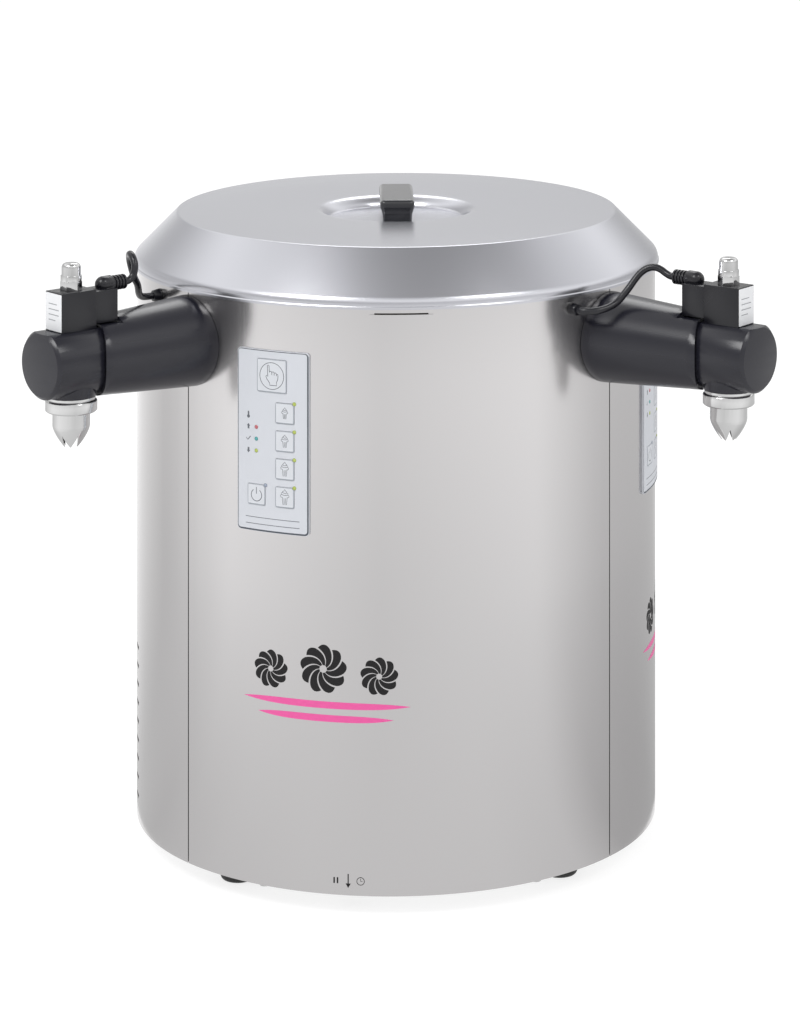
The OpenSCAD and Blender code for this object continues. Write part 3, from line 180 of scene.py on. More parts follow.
# %% Soft boxes
AIM_AT = Vector((0, 0, 0.3))
SOFT_BOXES = {
    "left_softbox": (Vector((-1.4, -1.25, 2.5)), 1.0, 22),
    "right_softbox": (Vector((1.4, -1.25, 2.5)), 0.8, 10),
    "back_softbox": (Vector((0.1, 2.2, 2.6)), 1.2, 12),
}
for box_name, (box_at, side_l, watts) in SOFT_BOXES.items():
    light = bpy.data.lights.new(box_name, "AREA")
    light.shape = "SQUARE"
    light.size = side_l
    light.energy = watts
    box = bpy.data.objects.new(box_name, light)
    scene.collection.objects.link(box)
    box.location = box_at
    box.rotation_euler = (AIM_AT - box_at).to_track_quat("-Z", "Y").to_euler()
print("soft boxes:", ", ".join(SOFT_BOXES))

# %% Floor
FLOOR_HALF = 14
FLOOR_GREY = 0.86
FLOOR_GLOW_SHARE = 0.62
FLOOR_GLOW = 1.25
SQUARE = ((-1, -1), (1, -1), (1, 1), (-1, 1))

floor_mesh = bpy.data.meshes.new("floor")
floor_mesh.from_pydata([(x * FLOOR_HALF, y * FLOOR_HALF, 0) for x, y in SQUARE], [], [(0, 1, 2, 3)])
floor = bpy.data.objects.new("floor", floor_mesh)
scene.collection.objects.link(floor)

paper = bpy.data.materials.new("studio_paper")
paper.use_nodes = True
sheet = paper.node_tree
sheet.nodes.clear()
rays = chain(sheet, "ShaderNodeLightPath")
seen = chain(sheet, "ShaderNodeMath", (rays.outputs["Is Camera Ray"], 0), (rays.outputs["Is Glossy Ray"], 1),
             operation="MAXIMUM")
seen_too = chain(sheet, "ShaderNodeMath", (seen.outputs[0], 0), (rays.outputs["Is Transmission Ray"], 1),
                 operation="MAXIMUM")
glow_share = chain(sheet, "ShaderNodeMath", (seen_too.outputs[0], 0), operation="MULTIPLY")
glow_share.inputs[1].default_value = FLOOR_GLOW_SHARE
matte = chain(sheet, "ShaderNodeBsdfDiffuse")
matte.inputs["Color"].default_value = (FLOOR_GREY, FLOOR_GREY, FLOOR_GREY, 1)
glow = chain(sheet, "ShaderNodeEmission")
glow.inputs["Strength"].default_value = FLOOR_GLOW
mixed = chain(sheet, "ShaderNodeMixShader", (glow_share.outputs[0], "Fac"), (matte.outputs[0], 1),
              (glow.outputs[0], 2))
chain(sheet, "ShaderNodeOutputMaterial", (mixed.outputs[0], "Surface"))
floor_mesh.materials.append(paper)
print("floor of", 2 * FLOOR_HALF, "m")

# %% [markdown]
# ## The tent round the machine
# A photographer who shoots a round steel body stands a ring of white and grey cards about it, because a
# cylinder on a white floor looks flat. The ring here is one low wall whose tone changes slowly as it goes
# round and up, with darker flanks at its foot. It only shows in mirrors, so it neither hides the machine from
# a camera nor takes light from it.

# %% Put up the tent
TENT_OUTLINE = ((0.226, 0.002), (0.6, 0.1), (0.66, 0.57))
TENT_TURNS = 72

tent_points = []
for r, z in TENT_OUTLINE:
    turns = [2 * math.pi * k / TENT_TURNS for k in range(TENT_TURNS)]
    tent_points += [(r * math.cos(t), r * math.sin(t), z) for t in turns]
tent_faces = []
for start in range(0, len(tent_points) - TENT_TURNS, TENT_TURNS):
    for k in range(TENT_TURNS):
        n = (k + 1) % TENT_TURNS
        tent_faces.append((start + k, start + n, start + TENT_TURNS + n, start + TENT_TURNS + k))
tent_mesh = bpy.data.meshes.new("tent")
tent_mesh.from_pydata(tent_points, [], tent_faces)
tent = bpy.data.objects.new("tent", tent_mesh)
scene.collection.objects.link(tent)
tent.location = (0, AXIS_Y, 0)
tent.rotation_euler.z = -math.pi / 2
tent.visible_camera = tent.visible_diffuse = tent.visible_shadow = False
print("tent:", len(tent_faces), "cards")

# %% Shade the tent
TENT_TONES = (
    (-180, 1.0), (-155, 1.18), (-105, 0.73), (-66, 1.13), (-7, 0.89), (52, 1.06), (84, 0.74), (135, 0.64),
    (180, 1.0),
)
TENT_FOOT_TONES = (
    (-180, 1.0), (-150, 1.15), (-115, 0.84), (-80, 0.76), (-50, 0.94), (-25, 1.0), (25, 1.0), (48, 0.92),
    (66, 0.64), (100, 0.58), (140, 0.66), (180, 1.0),
)
TENT_FOOT_H = 0.12
TENT_RISE = ((0.0, 0.82), (0.195, 0.94), (0.545, 1.08), (1.0, 0.75))

cards = bpy.data.materials.new("tent_cards")
cards.use_nodes = True
cards.cycles.emission_sampling = "NONE"
card_tree = cards.node_tree
card_tree.nodes.clear()
card_place = chain(card_tree, "ShaderNodeTexCoord").outputs["Object"]
turn_share = chain(card_tree, "ShaderNodeTexGradient", (card_place, "Vector"), gradient_type="RADIAL")
split = chain(card_tree, "ShaderNodeSeparateXYZ", (card_place, "Vector"))


def round_ramp(tones):
    """A ramp of the tent's tones, given by degrees round from the front."""
    return tone_ramp(card_tree, [(az / 360 + 0.5, grey) for az, grey in tones], turn_share.outputs["Fac"])


def rise_to(top):
    """How far up a point is, from 0 at the floor to 1 at the top."""
    share = chain(card_tree, "ShaderNodeMapRange", (split.outputs["Z"], "Value"))
    share.inputs["From Max"].default_value = top
    return share.outputs["Result"]


upper_tones = round_ramp(TENT_TONES).outputs["Color"]
foot_tones = round_ramp(TENT_FOOT_TONES).outputs["Color"]
rise_tones = tone_ramp(card_tree, TENT_RISE, rise_to(TENT_OUTLINE[-1][1])).outputs["Color"]
tone_gain = chain(card_tree, "ShaderNodeVectorMath", (upper_tones, 0), (foot_tones, 1), operation="SUBTRACT")
tones = chain(card_tree, "ShaderNodeVectorMath", (tone_gain.outputs["Vector"], 0), (rise_to(TENT_FOOT_H), 1),
              (foot_tones, 2), operation="MULTIPLY_ADD")
both = chain(card_tree, "ShaderNodeVectorMath", (tones.outputs["Vector"], 0), (rise_tones, 1),
             operation="MULTIPLY")
card_light = chain(card_tree, "ShaderNodeEmission", (both.outputs["Vector"], "Color"))
chain(card_tree, "ShaderNodeOutputMaterial", (card_light.outputs[0], "Surface"))
tent_mesh.materials.append(cards)
print("tent:", len(TENT_TONES), "tones round and", len(TENT_RISE), "up")

# %% [markdown]
# ## Shared effects
# Brushed steel, moulded plastic and painted sheet all owe their look to fine relief. Each effect is one node
# group with its own inputs, placed in every finish that needs it. The groups read the object's own
# coordinates, so the relief stays on the metal whichever way one looks.

# %% Start a node group
def start_group(name, inputs, outputs):
    """A shader node group with value inputs and the named outputs."""
    group = bpy.data.node_groups.new(name, "ShaderNodeTree")
    for label, value in inputs.items():
        socket = group.interface.new_socket(label, in_out="INPUT", socket_type="NodeSocketFloat")
        socket.default_value = value
    for label in outputs:
        group.interface.new_socket(label, in_out="OUTPUT", socket_type="NodeSocketFloat")
    return group, group.nodes.new("NodeGroupInput"), group.nodes.new("NodeGroupOutput")


def swung_roughness(group, group_in, noise):
    """The group's roughness, swung up and down by its spread as a noise goes from 0 to 1."""
    centred = chain(group, "ShaderNodeMath", (noise.outputs["Fac"], 0), operation="SUBTRACT")
    centred.inputs[1].default_value = 0.5
    swing = chain(group, "ShaderNodeMath", (centred.outputs[0], 0), (group_in.outputs["Spread"], 1),
                  operation="MULTIPLY")
    level = chain(group, "ShaderNodeMath", (swing.outputs[0], 0), (group_in.outputs["Roughness"], 1),
                  operation="ADD")
    return level.outputs[0]


print("node group helpers ready")

# %% Brushed grain: fine upright lines in the steel
STREAK_SCALE = 1.0
STREAK_DETAIL = 2.0

grain, grain_in, grain_out = start_group(
    "brushed_grain",
    {"Across": 900.0, "Along": 12.0, "Roughness": 0.3, "Spread": 0.08},
    ("Height", "Roughness"),
)
grain_place = chain(grain, "ShaderNodeTexCoord")
stretch = chain(grain, "ShaderNodeCombineXYZ", (grain_in.outputs["Across"], "X"),
                (grain_in.outputs["Across"], "Y"), (grain_in.outputs["Along"], "Z"))
grain_lines = chain(grain, "ShaderNodeVectorMath", (grain_place.outputs["Object"], 0),
                    (stretch.outputs[0], 1), operation="MULTIPLY")
streaks = chain(grain, "ShaderNodeTexNoise", (grain_lines.outputs[0], "Vector"))
streaks.inputs["Scale"].default_value = STREAK_SCALE
streaks.inputs["Detail"].default_value = STREAK_DETAIL
grain.links.new(streaks.outputs["Fac"], grain_out.inputs["Height"])
grain.links.new(swung_roughness(grain, grain_in, streaks), grain_out.inputs["Roughness"])
print("group:", grain.name)

# %% Moulding grain: the fine leathery skin of moulded plastic and rubber
PORE_DETAIL = 3.0
CLOUD_SCALE = 28.0

skin, skin_in, skin_out = start_group(
    "moulding_grain", {"Scale": 900.0, "Roughness": 0.45, "Spread": 0.1}, ("Height", "Roughness")
)
skin_place = chain(skin, "ShaderNodeTexCoord")
pores = chain(skin, "ShaderNodeTexNoise", (skin_place.outputs["Object"], "Vector"),
              (skin_in.outputs["Scale"], "Scale"))
pores.inputs["Detail"].default_value = PORE_DETAIL
clouds = chain(skin, "ShaderNodeTexNoise", (skin_place.outputs["Object"], "Vector"))
clouds.inputs["Scale"].default_value = CLOUD_SCALE
skin.links.new(pores.outputs["Fac"], skin_out.inputs["Height"])
skin.links.new(swung_roughness(skin, skin_in, clouds), skin_out.inputs["Roughness"])
print("group:", skin.name)

# %% [markdown]
# ## Finishes
# Each finish of the record becomes one material with the Principled shader inside. Metals take the brushed
# grain, turned ones with its lines round the piece. Plastics, rubbers and foils take the moulding grain, and
# prints and lenses stay plain.

# %% Two ways to make a finish
def plain_finish(name, colour, roughness, metallic=0.0, specular=0.5, coat=0.0, coat_roughness=0.03):
    """A material with one colour and one roughness all over."""
    material = bpy.data.materials.new(name)
    material.use_nodes = True
    shader = material.node_tree.nodes["Principled BSDF"]
    shader.inputs["Base Color"].default_value = (*colour, 1)
    shader.inputs["Roughness"].default_value = roughness
    shader.inputs["Metallic"].default_value = metallic
    shader.inputs["Specular IOR Level"].default_value = specular
    shader.inputs["Coat Weight"].default_value = coat
    shader.inputs["Coat Roughness"].default_value = coat_roughness
    material.diffuse_color = (*colour, 1)
    return material


def grained_finish(name, colour, group, values, relief, relief_depth, **more):
    """A plain finish whose roughness and relief come from one of the shared grain groups."""
    material = plain_finish(name, colour, values["Roughness"], **more)
    tree = material.node_tree
    shader = tree.nodes["Principled BSDF"]
    effect = tree.nodes.new("ShaderNodeGroup")
    effect.node_tree = group
    for label, value in values.items():
        effect.inputs[label].default_value = value
    bump = chain(tree, "ShaderNodeBump", (effect.outputs["Height"], "Height"))
    bump.inputs["Strength"].default_value = relief
    bump.inputs["Distance"].default_value = relief_depth
    tree.links.new(effect.outputs["Roughness"], shader.inputs["Roughness"])
    tree.links.new(bump.outputs["Normal"], shader.inputs["Normal"])
    return material


print("finish helpers ready")

# %% Metals
STEEL_RELIEF = 0.05
STEEL_RELIEF_DEPTH = 0.00002
finishes = {}


def brushed(name, colour, roughness, spread=0.08, across_scale=900.0, along_scale=12.0):
    """A brushed metal of the record, added to the finishes by its slot's name."""
    values = {"Across": across_scale, "Along": along_scale, "Roughness": roughness, "Spread": spread}
    finishes[name] = grained_finish(
        name, colour, grain, values, STEEL_RELIEF, STEEL_RELIEF_DEPTH, metallic=1.0
    )


brushed("casing_steel", (0.628, 0.614, 0.617), 0.18, spread=0.05)
brushed("lid_steel", (0.6, 0.604, 0.645), 0.25, spread=0.04, across_scale=2400.0, along_scale=2400.0)
brushed("plate_steel", (0.6, 0.6, 0.6), 0.36)
brushed("tank_steel", (0.7, 0.7, 0.7), 0.3)
brushed("screw_steel", (0.55, 0.55, 0.55), 0.35)
brushed("fin_aluminium", (0.75, 0.75, 0.76), 0.35)
brushed("copper", (0.72, 0.42, 0.28), 0.28)
brushed("bright_steel", (0.64, 0.64, 0.64), 0.1, spread=0.04, across_scale=40.0, along_scale=2000.0)
print("metals:", ", ".join(finishes))

# %% Plastics, rubber and paint
PLASTIC_RELIEF = 0.12
PLASTIC_RELIEF_DEPTH = 0.00005


def moulded(name, colour, roughness, scale=900.0, spread=0.1):
    """A moulded or painted finish of the record."""
    values = {"Scale": scale, "Roughness": roughness, "Spread": spread}
    finishes[name] = grained_finish(name, colour, skin, values, PLASTIC_RELIEF, PLASTIC_RELIEF_DEPTH)


moulded("black_plastic", (0.0125, 0.0125, 0.0195), 0.24)
moulded("coil_black", (0.007, 0.007, 0.0105), 0.28)
moulded("cable_black", (0.01, 0.01, 0.014), 0.26)
moulded("rubber", (0.022, 0.022, 0.022), 0.6)
moulded("black_enamel", (0.03, 0.03, 0.033), 0.35)
moulded("motor_steel", (0.3, 0.3, 0.32), 0.4)
moulded("grey_plastic", (0.48, 0.48, 0.48), 0.45)
moulded("white_plastic", (0.82, 0.82, 0.8), 0.4)
moulded("foam", (0.82, 0.74, 0.56), 0.8, scale=300.0)
moulded("board_green", (0.03, 0.2, 0.09), 0.35)
print("plastics and paints ready, finishes so far:", len(finishes))

# %% Keypad foils, inks, painted edge shade and lenses
moulded("keypad_foil", (0.645, 0.665, 0.71), 0.45, scale=1800.0)
moulded("key_foil", (0.68, 0.7, 0.74), 0.45, scale=1800.0)
finishes["lamp_lens"] = plain_finish("lamp_lens", (0.3, 0.5, 0.2), 0.2)
# Two of these paints are painted shade: the dark lines along the key and plate edges.
prints_and_shade_paints = {
    "plate_shade_paint": plain_finish("plate_shade_paint", (0.07, 0.08, 0.1), 0.45),
    "sign_ink": plain_finish("sign_ink", (0.12, 0.13, 0.15), 0.45),
    "key_shade_paint": plain_finish("key_shade_paint", (0.3, 0.33, 0.37), 0.45),
    "decor_black": plain_finish("decor_black", (0.014, 0.013, 0.014), 0.6, specular=0.25),
    "decor_pink": plain_finish("decor_pink", (0.83, 0.1, 0.36), 0.4),
    "label_white": plain_finish("label_white", (0.86, 0.87, 0.89), 0.45),
    "label_grey": plain_finish("label_grey", (0.35, 0.36, 0.38), 0.45),
}
print("inks:", ", ".join(prints_and_shade_paints))

# %% [markdown]
# ## Dressing the solids
# Every solid takes the finish that the record names for it. The solids bring exact normals from CAD, so their
# round faces already shade as round. Mouldings and turned pieces also get a narrow bevel, because an edge
# that catches the light is what makes them look moulded: their faces are welded together first, as a bevel
# needs edges that two faces share. None of this moves a vertex of the solid itself.

# %% Give each solid its finish
SHARP_ANGLE = math.radians(32)
WELD_L = 0.00001
SOFT_EDGE_STEPS = 2
SOFT_EDGES = {
    "black_plastic": 0.0006, "coil_black": 0.0005, "bright_steel": 0.0003, "rubber": 0.0008,
    "grey_plastic": 0.0005,
}


def dress(node, slot_name):
    """Finish and, on mouldings and turned pieces, a soft edge."""
    solid = nodes[node]
    solid.data.materials.clear()
    solid.data.materials.append(finishes[slot_name])
    if slot_name not in SOFT_EDGES:
        return
    solid.data.shade_smooth()
    weld = solid.modifiers.new("weld", "WELD")
    weld.merge_threshold = WELD_L
    bevel = solid.modifiers.new("soft_edge", "BEVEL")
    bevel.width = SOFT_EDGES[slot_name]
    bevel.segments = SOFT_EDGE_STEPS
    bevel.limit_method = "ANGLE"
    bevel.angle_limit = SHARP_ANGLE
    bevel.harden_normals = True


for part in frame["record"]["subparts"]:
    dress(part["node"], part["material_slot"])

# %% [markdown]
# ## The coil leads
# A short cable runs from the ribbed boot of each plug to a gland in the casing. It is a single smooth sweep,
# so a curve with a round bevel is the natural way: its points are the route that the solid follows, too. The
# left lead makes one free curl beside the lid, and the right one makes a gentle drop.

# %% Lay the two leads
MM = 0.001
LEAD_R = 0.00275
LEAD_ROUND_STEPS = 5
BOOT_MOUTH = (0, 0.2713, 0.4725)
GLAND_TURN = math.radians(12)
GLAND_OUT = 0.216
GLAND_Z = 0.447
GLAND_MOUTH = (-GLAND_OUT * math.sin(GLAND_TURN), GLAND_OUT * math.cos(GLAND_TURN), GLAND_Z)
GLAND_LEAD_IN = 0.0045
LEAD_ROUTES = {
    LEFT: (
        ((0, 0, 0), (0, 4.4, 0), (0, 8.4, 2.8), (-0.2, 10.4, 7.4), (-1.6, 11.4, 11.8), (-4.6, 12.2, 15.4),
         (-9, 13.6, 17.2), (-14, 15.8, 16.8), (-18.4, 18.6, 14.4), (-22.2, 21.6, 10.4), (-25, 24.8, 5.2),
         (-27.4, 28.2, -0.6), (-29.6, 31.8, -6.4)),
        ((12.4, -23.6, 13.6), (8.8, -20.2, 9), (4.6, -16.6, 5), (1.2, -12.6, 2), (-0.6, -8.4, 0.4)),
    ),
    RIGHT: (
        ((0, 0, 0), (0, 4.5, 0), (0, 8.8, 1.6), (-0.4, 13.2, 4), (-1.6, 18, 5.4), (-3.6, 22.6, 4.6),
         (-6.4, 26.8, 1.6), (-9.8, 30, -3.2), (-13.8, 32.6, -9), (-18.6, 35.2, -14.8)),
        ((21, -22.4, 5.6), (15, -20, 2.6), (9, -17.2, 1), (3.8, -13.6, 0.2), (0.4, -9.2, 0)),
    ),
}


def lead_points(side):
    """The lead's route in metres; its chosen steps are in millimetres from the boot and from the gland."""
    from_boot, to_gland = LEAD_ROUTES[side]
    route = []
    for start, steps in ((BOOT_MOUTH, from_boot), (GLAND_MOUTH, to_gland)):
        for x, y, z in steps:
            route.append(on_arm(side, start[0] + x * MM, start[1] - y * MM, start[2] + z * MM))
    ahead_share = 1 + GLAND_LEAD_IN / math.hypot(GLAND_MOUTH[0], GLAND_MOUTH[1])
    route.append(on_arm(side, GLAND_MOUTH[0] * ahead_share, GLAND_MOUTH[1] * ahead_share, GLAND_MOUTH[2]))
    route.append(on_arm(side, *GLAND_MOUTH))
    return route


for side, side_name in SIDE_NAMES.items():
    line = bpy.data.curves.new(f"{side_name}_coil_lead", "CURVE")
    line.dimensions = "3D"
    line.bevel_depth = LEAD_R
    line.bevel_resolution = LEAD_ROUND_STEPS
    line.use_fill_caps = True
    run = line.splines.new("BEZIER")
    route = lead_points(side)
    run.bezier_points.add(len(route) - 1)
    for knot, point in zip(run.bezier_points, route):
        knot.co = point
        knot.handle_left_type = knot.handle_right_type = "AUTO"
    line.materials.append(finishes["cable_black"])
    lead = bpy.data.objects.new(line.name, line)
    scene.collection.objects.link(lead)
    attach(lead, "machine")
    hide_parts(f"{side_name}_lead")
    print(side_name, "lead is", round(run.calc_length() / MM, 1), "mm long")

# %% [markdown]
# ## Turned pieces
# A lid pressed from sheet is a figure of revolution, and so are lamp lenses. One helper spins an outline of
# (radius, height) points round an upright axis; another rounds the corners of such an outline, each by its
# own radius, as a press tool does.

# %% Round the corners of an outline
def fillet(outline, radii, steps=8):
    """The outline with each corner rounded by its radius; a radius of 0 keeps the corner."""
    points = []
    for i, (corner, radius) in enumerate(zip(outline, radii)):
        here = Vector(corner)
        if radius <= 0 or i in (0, len(outline) - 1):
            points.append(here)
            continue
        before = (Vector(outline[i - 1]) - here).normalized()
        after = (Vector(outline[i + 1]) - here).normalized()
        half = before.angle(after) / 2
        middle = here + (before + after).normalized() * radius / math.sin(half)
        first = here + before * radius / math.tan(half) - middle
        last = here + after * radius / math.tan(half) - middle
        turn = first.angle_signed(last)
        for k in range(steps + 1):
            spun = first.copy()
            spun.rotate(Matrix.Rotation(-turn * k / steps, 2))
            points.append(middle + spun)
    return points


def new_piece(name, bm, body, slot_name, finish=None, sharp=SHARP_ANGLE):
    """A finished mesh piece that rides on a body of the machine."""
    mesh = bpy.data.meshes.new(name)
    bm.to_mesh(mesh)
    bm.free()
    mesh.materials.append(finish or finishes[slot_name])
    mesh.shade_smooth()
    mesh.set_sharp_from_angle(angle=sharp)
    piece = bpy.data.objects.new(name, mesh)
    scene.collection.objects.link(piece)
    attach(piece, body)
    return piece


def spin_outline(outline, centre, steps):
    """A mesh that turns an outline of (radius, height) points round an upright axis."""
    bm = bmesh.new()
    rings = []
    for r, z in outline:
        if r < WELD_L:
            rings.append([bm.verts.new((centre.x, centre.y, z))])
            continue
        ring = []
        for k in range(steps):
            turn = 2 * math.pi * k / steps
            ring.append(bm.verts.new((centre.x + r * math.cos(turn), centre.y + r * math.sin(turn), z)))
        rings.append(ring)
    for low, high in zip(rings, rings[1:]):
        for k in range(steps):
            n = (k + 1) % steps
            loop = [low[k % len(low)], low[n % len(low)], high[n % len(high)], high[k % len(high)]]
            bm.faces.new(list(dict.fromkeys(loop)))
    return bm


print("turning helpers ready")

# %% The lid
LID_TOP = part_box("lid_shell")[1].z
LID_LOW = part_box("lid_shell")[0].z
LID_SHEET = 0.0012
DISH_FLOOR_R = 0.0548
DISH_R = 0.0594
DISH_DEPTH = 0.008
LID_TOP_R = 0.178
LIP_L = 0.0006
SKIRT_H = 0.0066
LIP_H = 0.0025
LIP_SLOPE_SHARE = 0.7
SKIRT_LEAN = 0.0005
DISH_LEAN = 0.0007
OUTSIDE_ROUNDS = (0, 0.002, 0.0125, 0.0026, 0.009, 0.0004, 0.0004, 0)
INSIDE_ROUNDS = (0, 0.0078, 0.0014, 0.0113, 0.0032, 0)
LID_TURNS = 192

floor_z = LID_TOP - DISH_DEPTH
skirt_r = LID_R - LIP_L
lid_outside = fillet(
    [(0, floor_z), (DISH_FLOOR_R, floor_z), (DISH_R, LID_TOP), (LID_TOP_R, LID_TOP),
     (skirt_r, LID_LOW + SKIRT_H), (skirt_r, LID_LOW + LIP_H), (LID_R, LID_LOW + LIP_H * LIP_SLOPE_SHARE),
     (LID_R, LID_LOW)],
    OUTSIDE_ROUNDS,
)
lid_inside = fillet(
    [(skirt_r - LID_SHEET, LID_LOW), (skirt_r - LID_SHEET, LID_LOW + SKIRT_H - SKIRT_LEAN),
     (LID_TOP_R - SKIRT_LEAN, LID_TOP - LID_SHEET), (DISH_R + DISH_LEAN, LID_TOP - LID_SHEET),
     (DISH_FLOOR_R + DISH_LEAN, floor_z - LID_SHEET), (0, floor_z - LID_SHEET)],
    INSIDE_ROUNDS,
)
bm = spin_outline(lid_outside + lid_inside, Vector((0, AXIS_Y, 0)), LID_TURNS)
bmesh.ops.recalc_face_normals(bm, faces=bm.faces)
lid = new_piece("pressed_lid", bm, "lid", "lid_steel")
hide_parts("lid_shell")
print("lid:", len(lid.data.polygons), "faces")

# %% [markdown]
# ## Flat outlines
# Rings, rectangles with round corners and pen strokes come back in the handle, the signs and the labels. They
# are plain lists of points in a plane, so they are made once here.

# %% Flat outlines
def circle_loop(r, steps=40, centre=(0, 0)):
    """Points round a circle."""
    turns = [2 * math.pi * k / steps for k in range(steps)]
    return [(centre[0] + r * math.cos(t), centre[1] + r * math.sin(t)) for t in turns]


def rounded_loop(w, h, r, steps=6):
    """Points round a rectangle with round corners, centred on the origin."""
    points = []
    for i, (sx, sy) in enumerate(((1, 1), (-1, 1), (-1, -1), (1, -1))):
        for k in range(steps + 1):
            t = math.pi / 2 * (i + k / steps)
            points.append((sx * (w / 2 - r) + r * math.cos(t), sy * (h / 2 - r) + r * math.sin(t)))
    return points


def band(outer, inner):
    """The strip between two loops with as many points each."""
    count = len(outer)
    return [(outer[k], outer[(k + 1) % count], inner[(k + 1) % count], inner[k]) for k in range(count)]


def stroke(points, width, closed=False):
    """A line of even width along points."""
    path = [Vector(p) for p in points]
    count = len(path)
    sides = []
    for k in range(count):
        before = path[k - 1] if k or closed else path[k]
        after = path[(k + 1) % count] if k < count - 1 or closed else path[k]
        way = (after - before).normalized()
        normal = Vector((-way.y, way.x)) * width / 2
        sides.append((path[k] + normal, path[k] - normal))
    ends = sides[1:] + (sides[:1] if closed else [])
    return [(start[1], end[1], end[0], start[0]) for start, end in zip(sides, ends)]


def moved(shape, right=0.0, rise=0.0):
    """The same shape at another place."""
    return [(x + right, y + rise) for x, y in shape]


def in_mm(points, size=1.0):
    """Millimetre points in metres, drawn larger or smaller by a size."""
    return [(x * MM * size, y * MM * size) for x, y in points]


print("drawing helpers ready")

# %% [markdown]
# ## The lid handle
# The bar handle is one moulding: a cap with round edges over a narrower stem, so that fingers can get under
# it. Seen from above every level of it is a rectangle with round corners, so the piece is built level by
# level: an outline gives how far each height stands in from the cap, and a ring is laid at each point of it.

# %% Build the handle level by level
HANDLE_CORNER_R = 0.0038
HANDLE_FOOT_IN = 0.0025
HANDLE_WAIST_IN = 0.00195
HANDLE_WAIST_SHARE = 0.45
HANDLE_SHOULDER_SHARE = 0.72
HANDLE_FLAT_SHARE = 0.25
HANDLE_LEAST_CORNER = HANDLE_CORNER_R / 4
HANDLE_ROUNDS = (0, 0.008, 0.0022, 0.0034, 0)
handle_low, handle_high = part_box("lid_handle")
handle_w = handle_high.x - handle_low.x
handle_l = handle_high.y - handle_low.y
handle_h = handle_high.z - handle_low.z

handle_levels = fillet(
    [(HANDLE_FOOT_IN, 0), (HANDLE_WAIST_IN, handle_h * HANDLE_WAIST_SHARE),
     (0, handle_h * HANDLE_SHOULDER_SHARE), (0, handle_h), (handle_w * HANDLE_FLAT_SHARE, handle_h)],
    HANDLE_ROUNDS,
)
bm = bmesh.new()
rings = []
for inset, rise in handle_levels:
    corner = max(HANDLE_CORNER_R - inset, HANDLE_LEAST_CORNER)
    loop = rounded_loop(handle_w - 2 * inset, handle_l - 2 * inset, corner)
    rings.append([bm.verts.new((x, AXIS_Y + y, handle_low.z + rise)) for x, y in loop])
for low, high in zip(rings, rings[1:]):
    for k in range(len(low)):
        n = (k + 1) % len(low)
        bm.faces.new((low[k], low[n], high[n], high[k]))
bm.faces.new(rings[-1])
bm.faces.new(list(reversed(rings[0])))
bmesh.ops.recalc_face_normals(bm, faces=bm.faces)
polished = grained_finish(
    "polished_black", (0.011, 0.0115, 0.0155), skin, {"Scale": 900.0, "Roughness": 0.24, "Spread": 0.1},
    PLASTIC_RELIEF, PLASTIC_RELIEF_DEPTH, coat=0.6, coat_roughness=0.24
)
handle = new_piece("bar_handle", bm, "lid", "black_plastic", polished)
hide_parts("lid_handle")
print("handle:", len(rings), "levels")

# %% [markdown]
# ## Prints and painted shade on the round wall
# Signs and lines are thin films, and so is the painted shade along the key and plate edges. Each is drawn
# flat, in a plane where the first number runs along the wall and the second runs up it, then cut into narrow
# strips and bent round the casing. A texture could do it too, but a film keeps crisp edges at any distance
# and moves with its key.

# %% Bend a flat drawing round the wall
FILM_STRIP = 0.003
FILM_LIFT = 0.00006


def wall_film(name, shapes, az, z, lift, body, slot_name, paint_name):
    """A printed film, or a film of painted shade, on the wall at an azimuth and height."""
    bm = bmesh.new()
    for shape in shapes:
        bm.faces.new([bm.verts.new((x, y, 0)) for x, y in shape])
    bmesh.ops.recalc_face_normals(bm, faces=bm.faces)
    for face in bm.faces:
        if face.normal.z < 0:
            face.normal_flip()
    bmesh.ops.triangulate(bm, faces=bm.faces)
    reach = max(abs(v.co.x) for v in bm.verts)
    for k in range(-int(reach / FILM_STRIP), int(reach / FILM_STRIP) + 1):
        everything = bm.verts[:] + bm.edges[:] + bm.faces[:]
        bmesh.ops.bisect_plane(bm, geom=everything, plane_co=(k * FILM_STRIP, 0, 0), plane_no=(1, 0, 0))
    for v in bm.verts:
        v.co = on_casing(az + math.degrees(v.co.x / BODY_R), z + v.co.y, lift + FILM_LIFT)
    return new_piece(name, bm, body, slot_name, prints_and_shade_paints[paint_name])


def place_of(node):
    """Azimuth and height of the middle of a solid."""
    low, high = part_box(node)
    middle = (low + high) / 2
    return math.degrees(math.atan2(middle.x, AXIS_Y - middle.y)), middle.z


print("the left hand key is at", [round(c, 3) for c in place_of("left_key_hand")])

# %% [markdown]
# ## Signs
# The keypad speaks in signs: a pointing hand for "as long as you press", a cup with a growing swirl of cream
# for the portions, the usual mark for power, and arrows and a tick beside the temperature lamps. Each sign of
# a key is a short function that returns its strokes, drawn about the middle of the key.

# %% The pointing hand
HAND_LINE = 0.0005
HAND_RING_R = 0.0104
HAND_RING_LINE = 0.0005


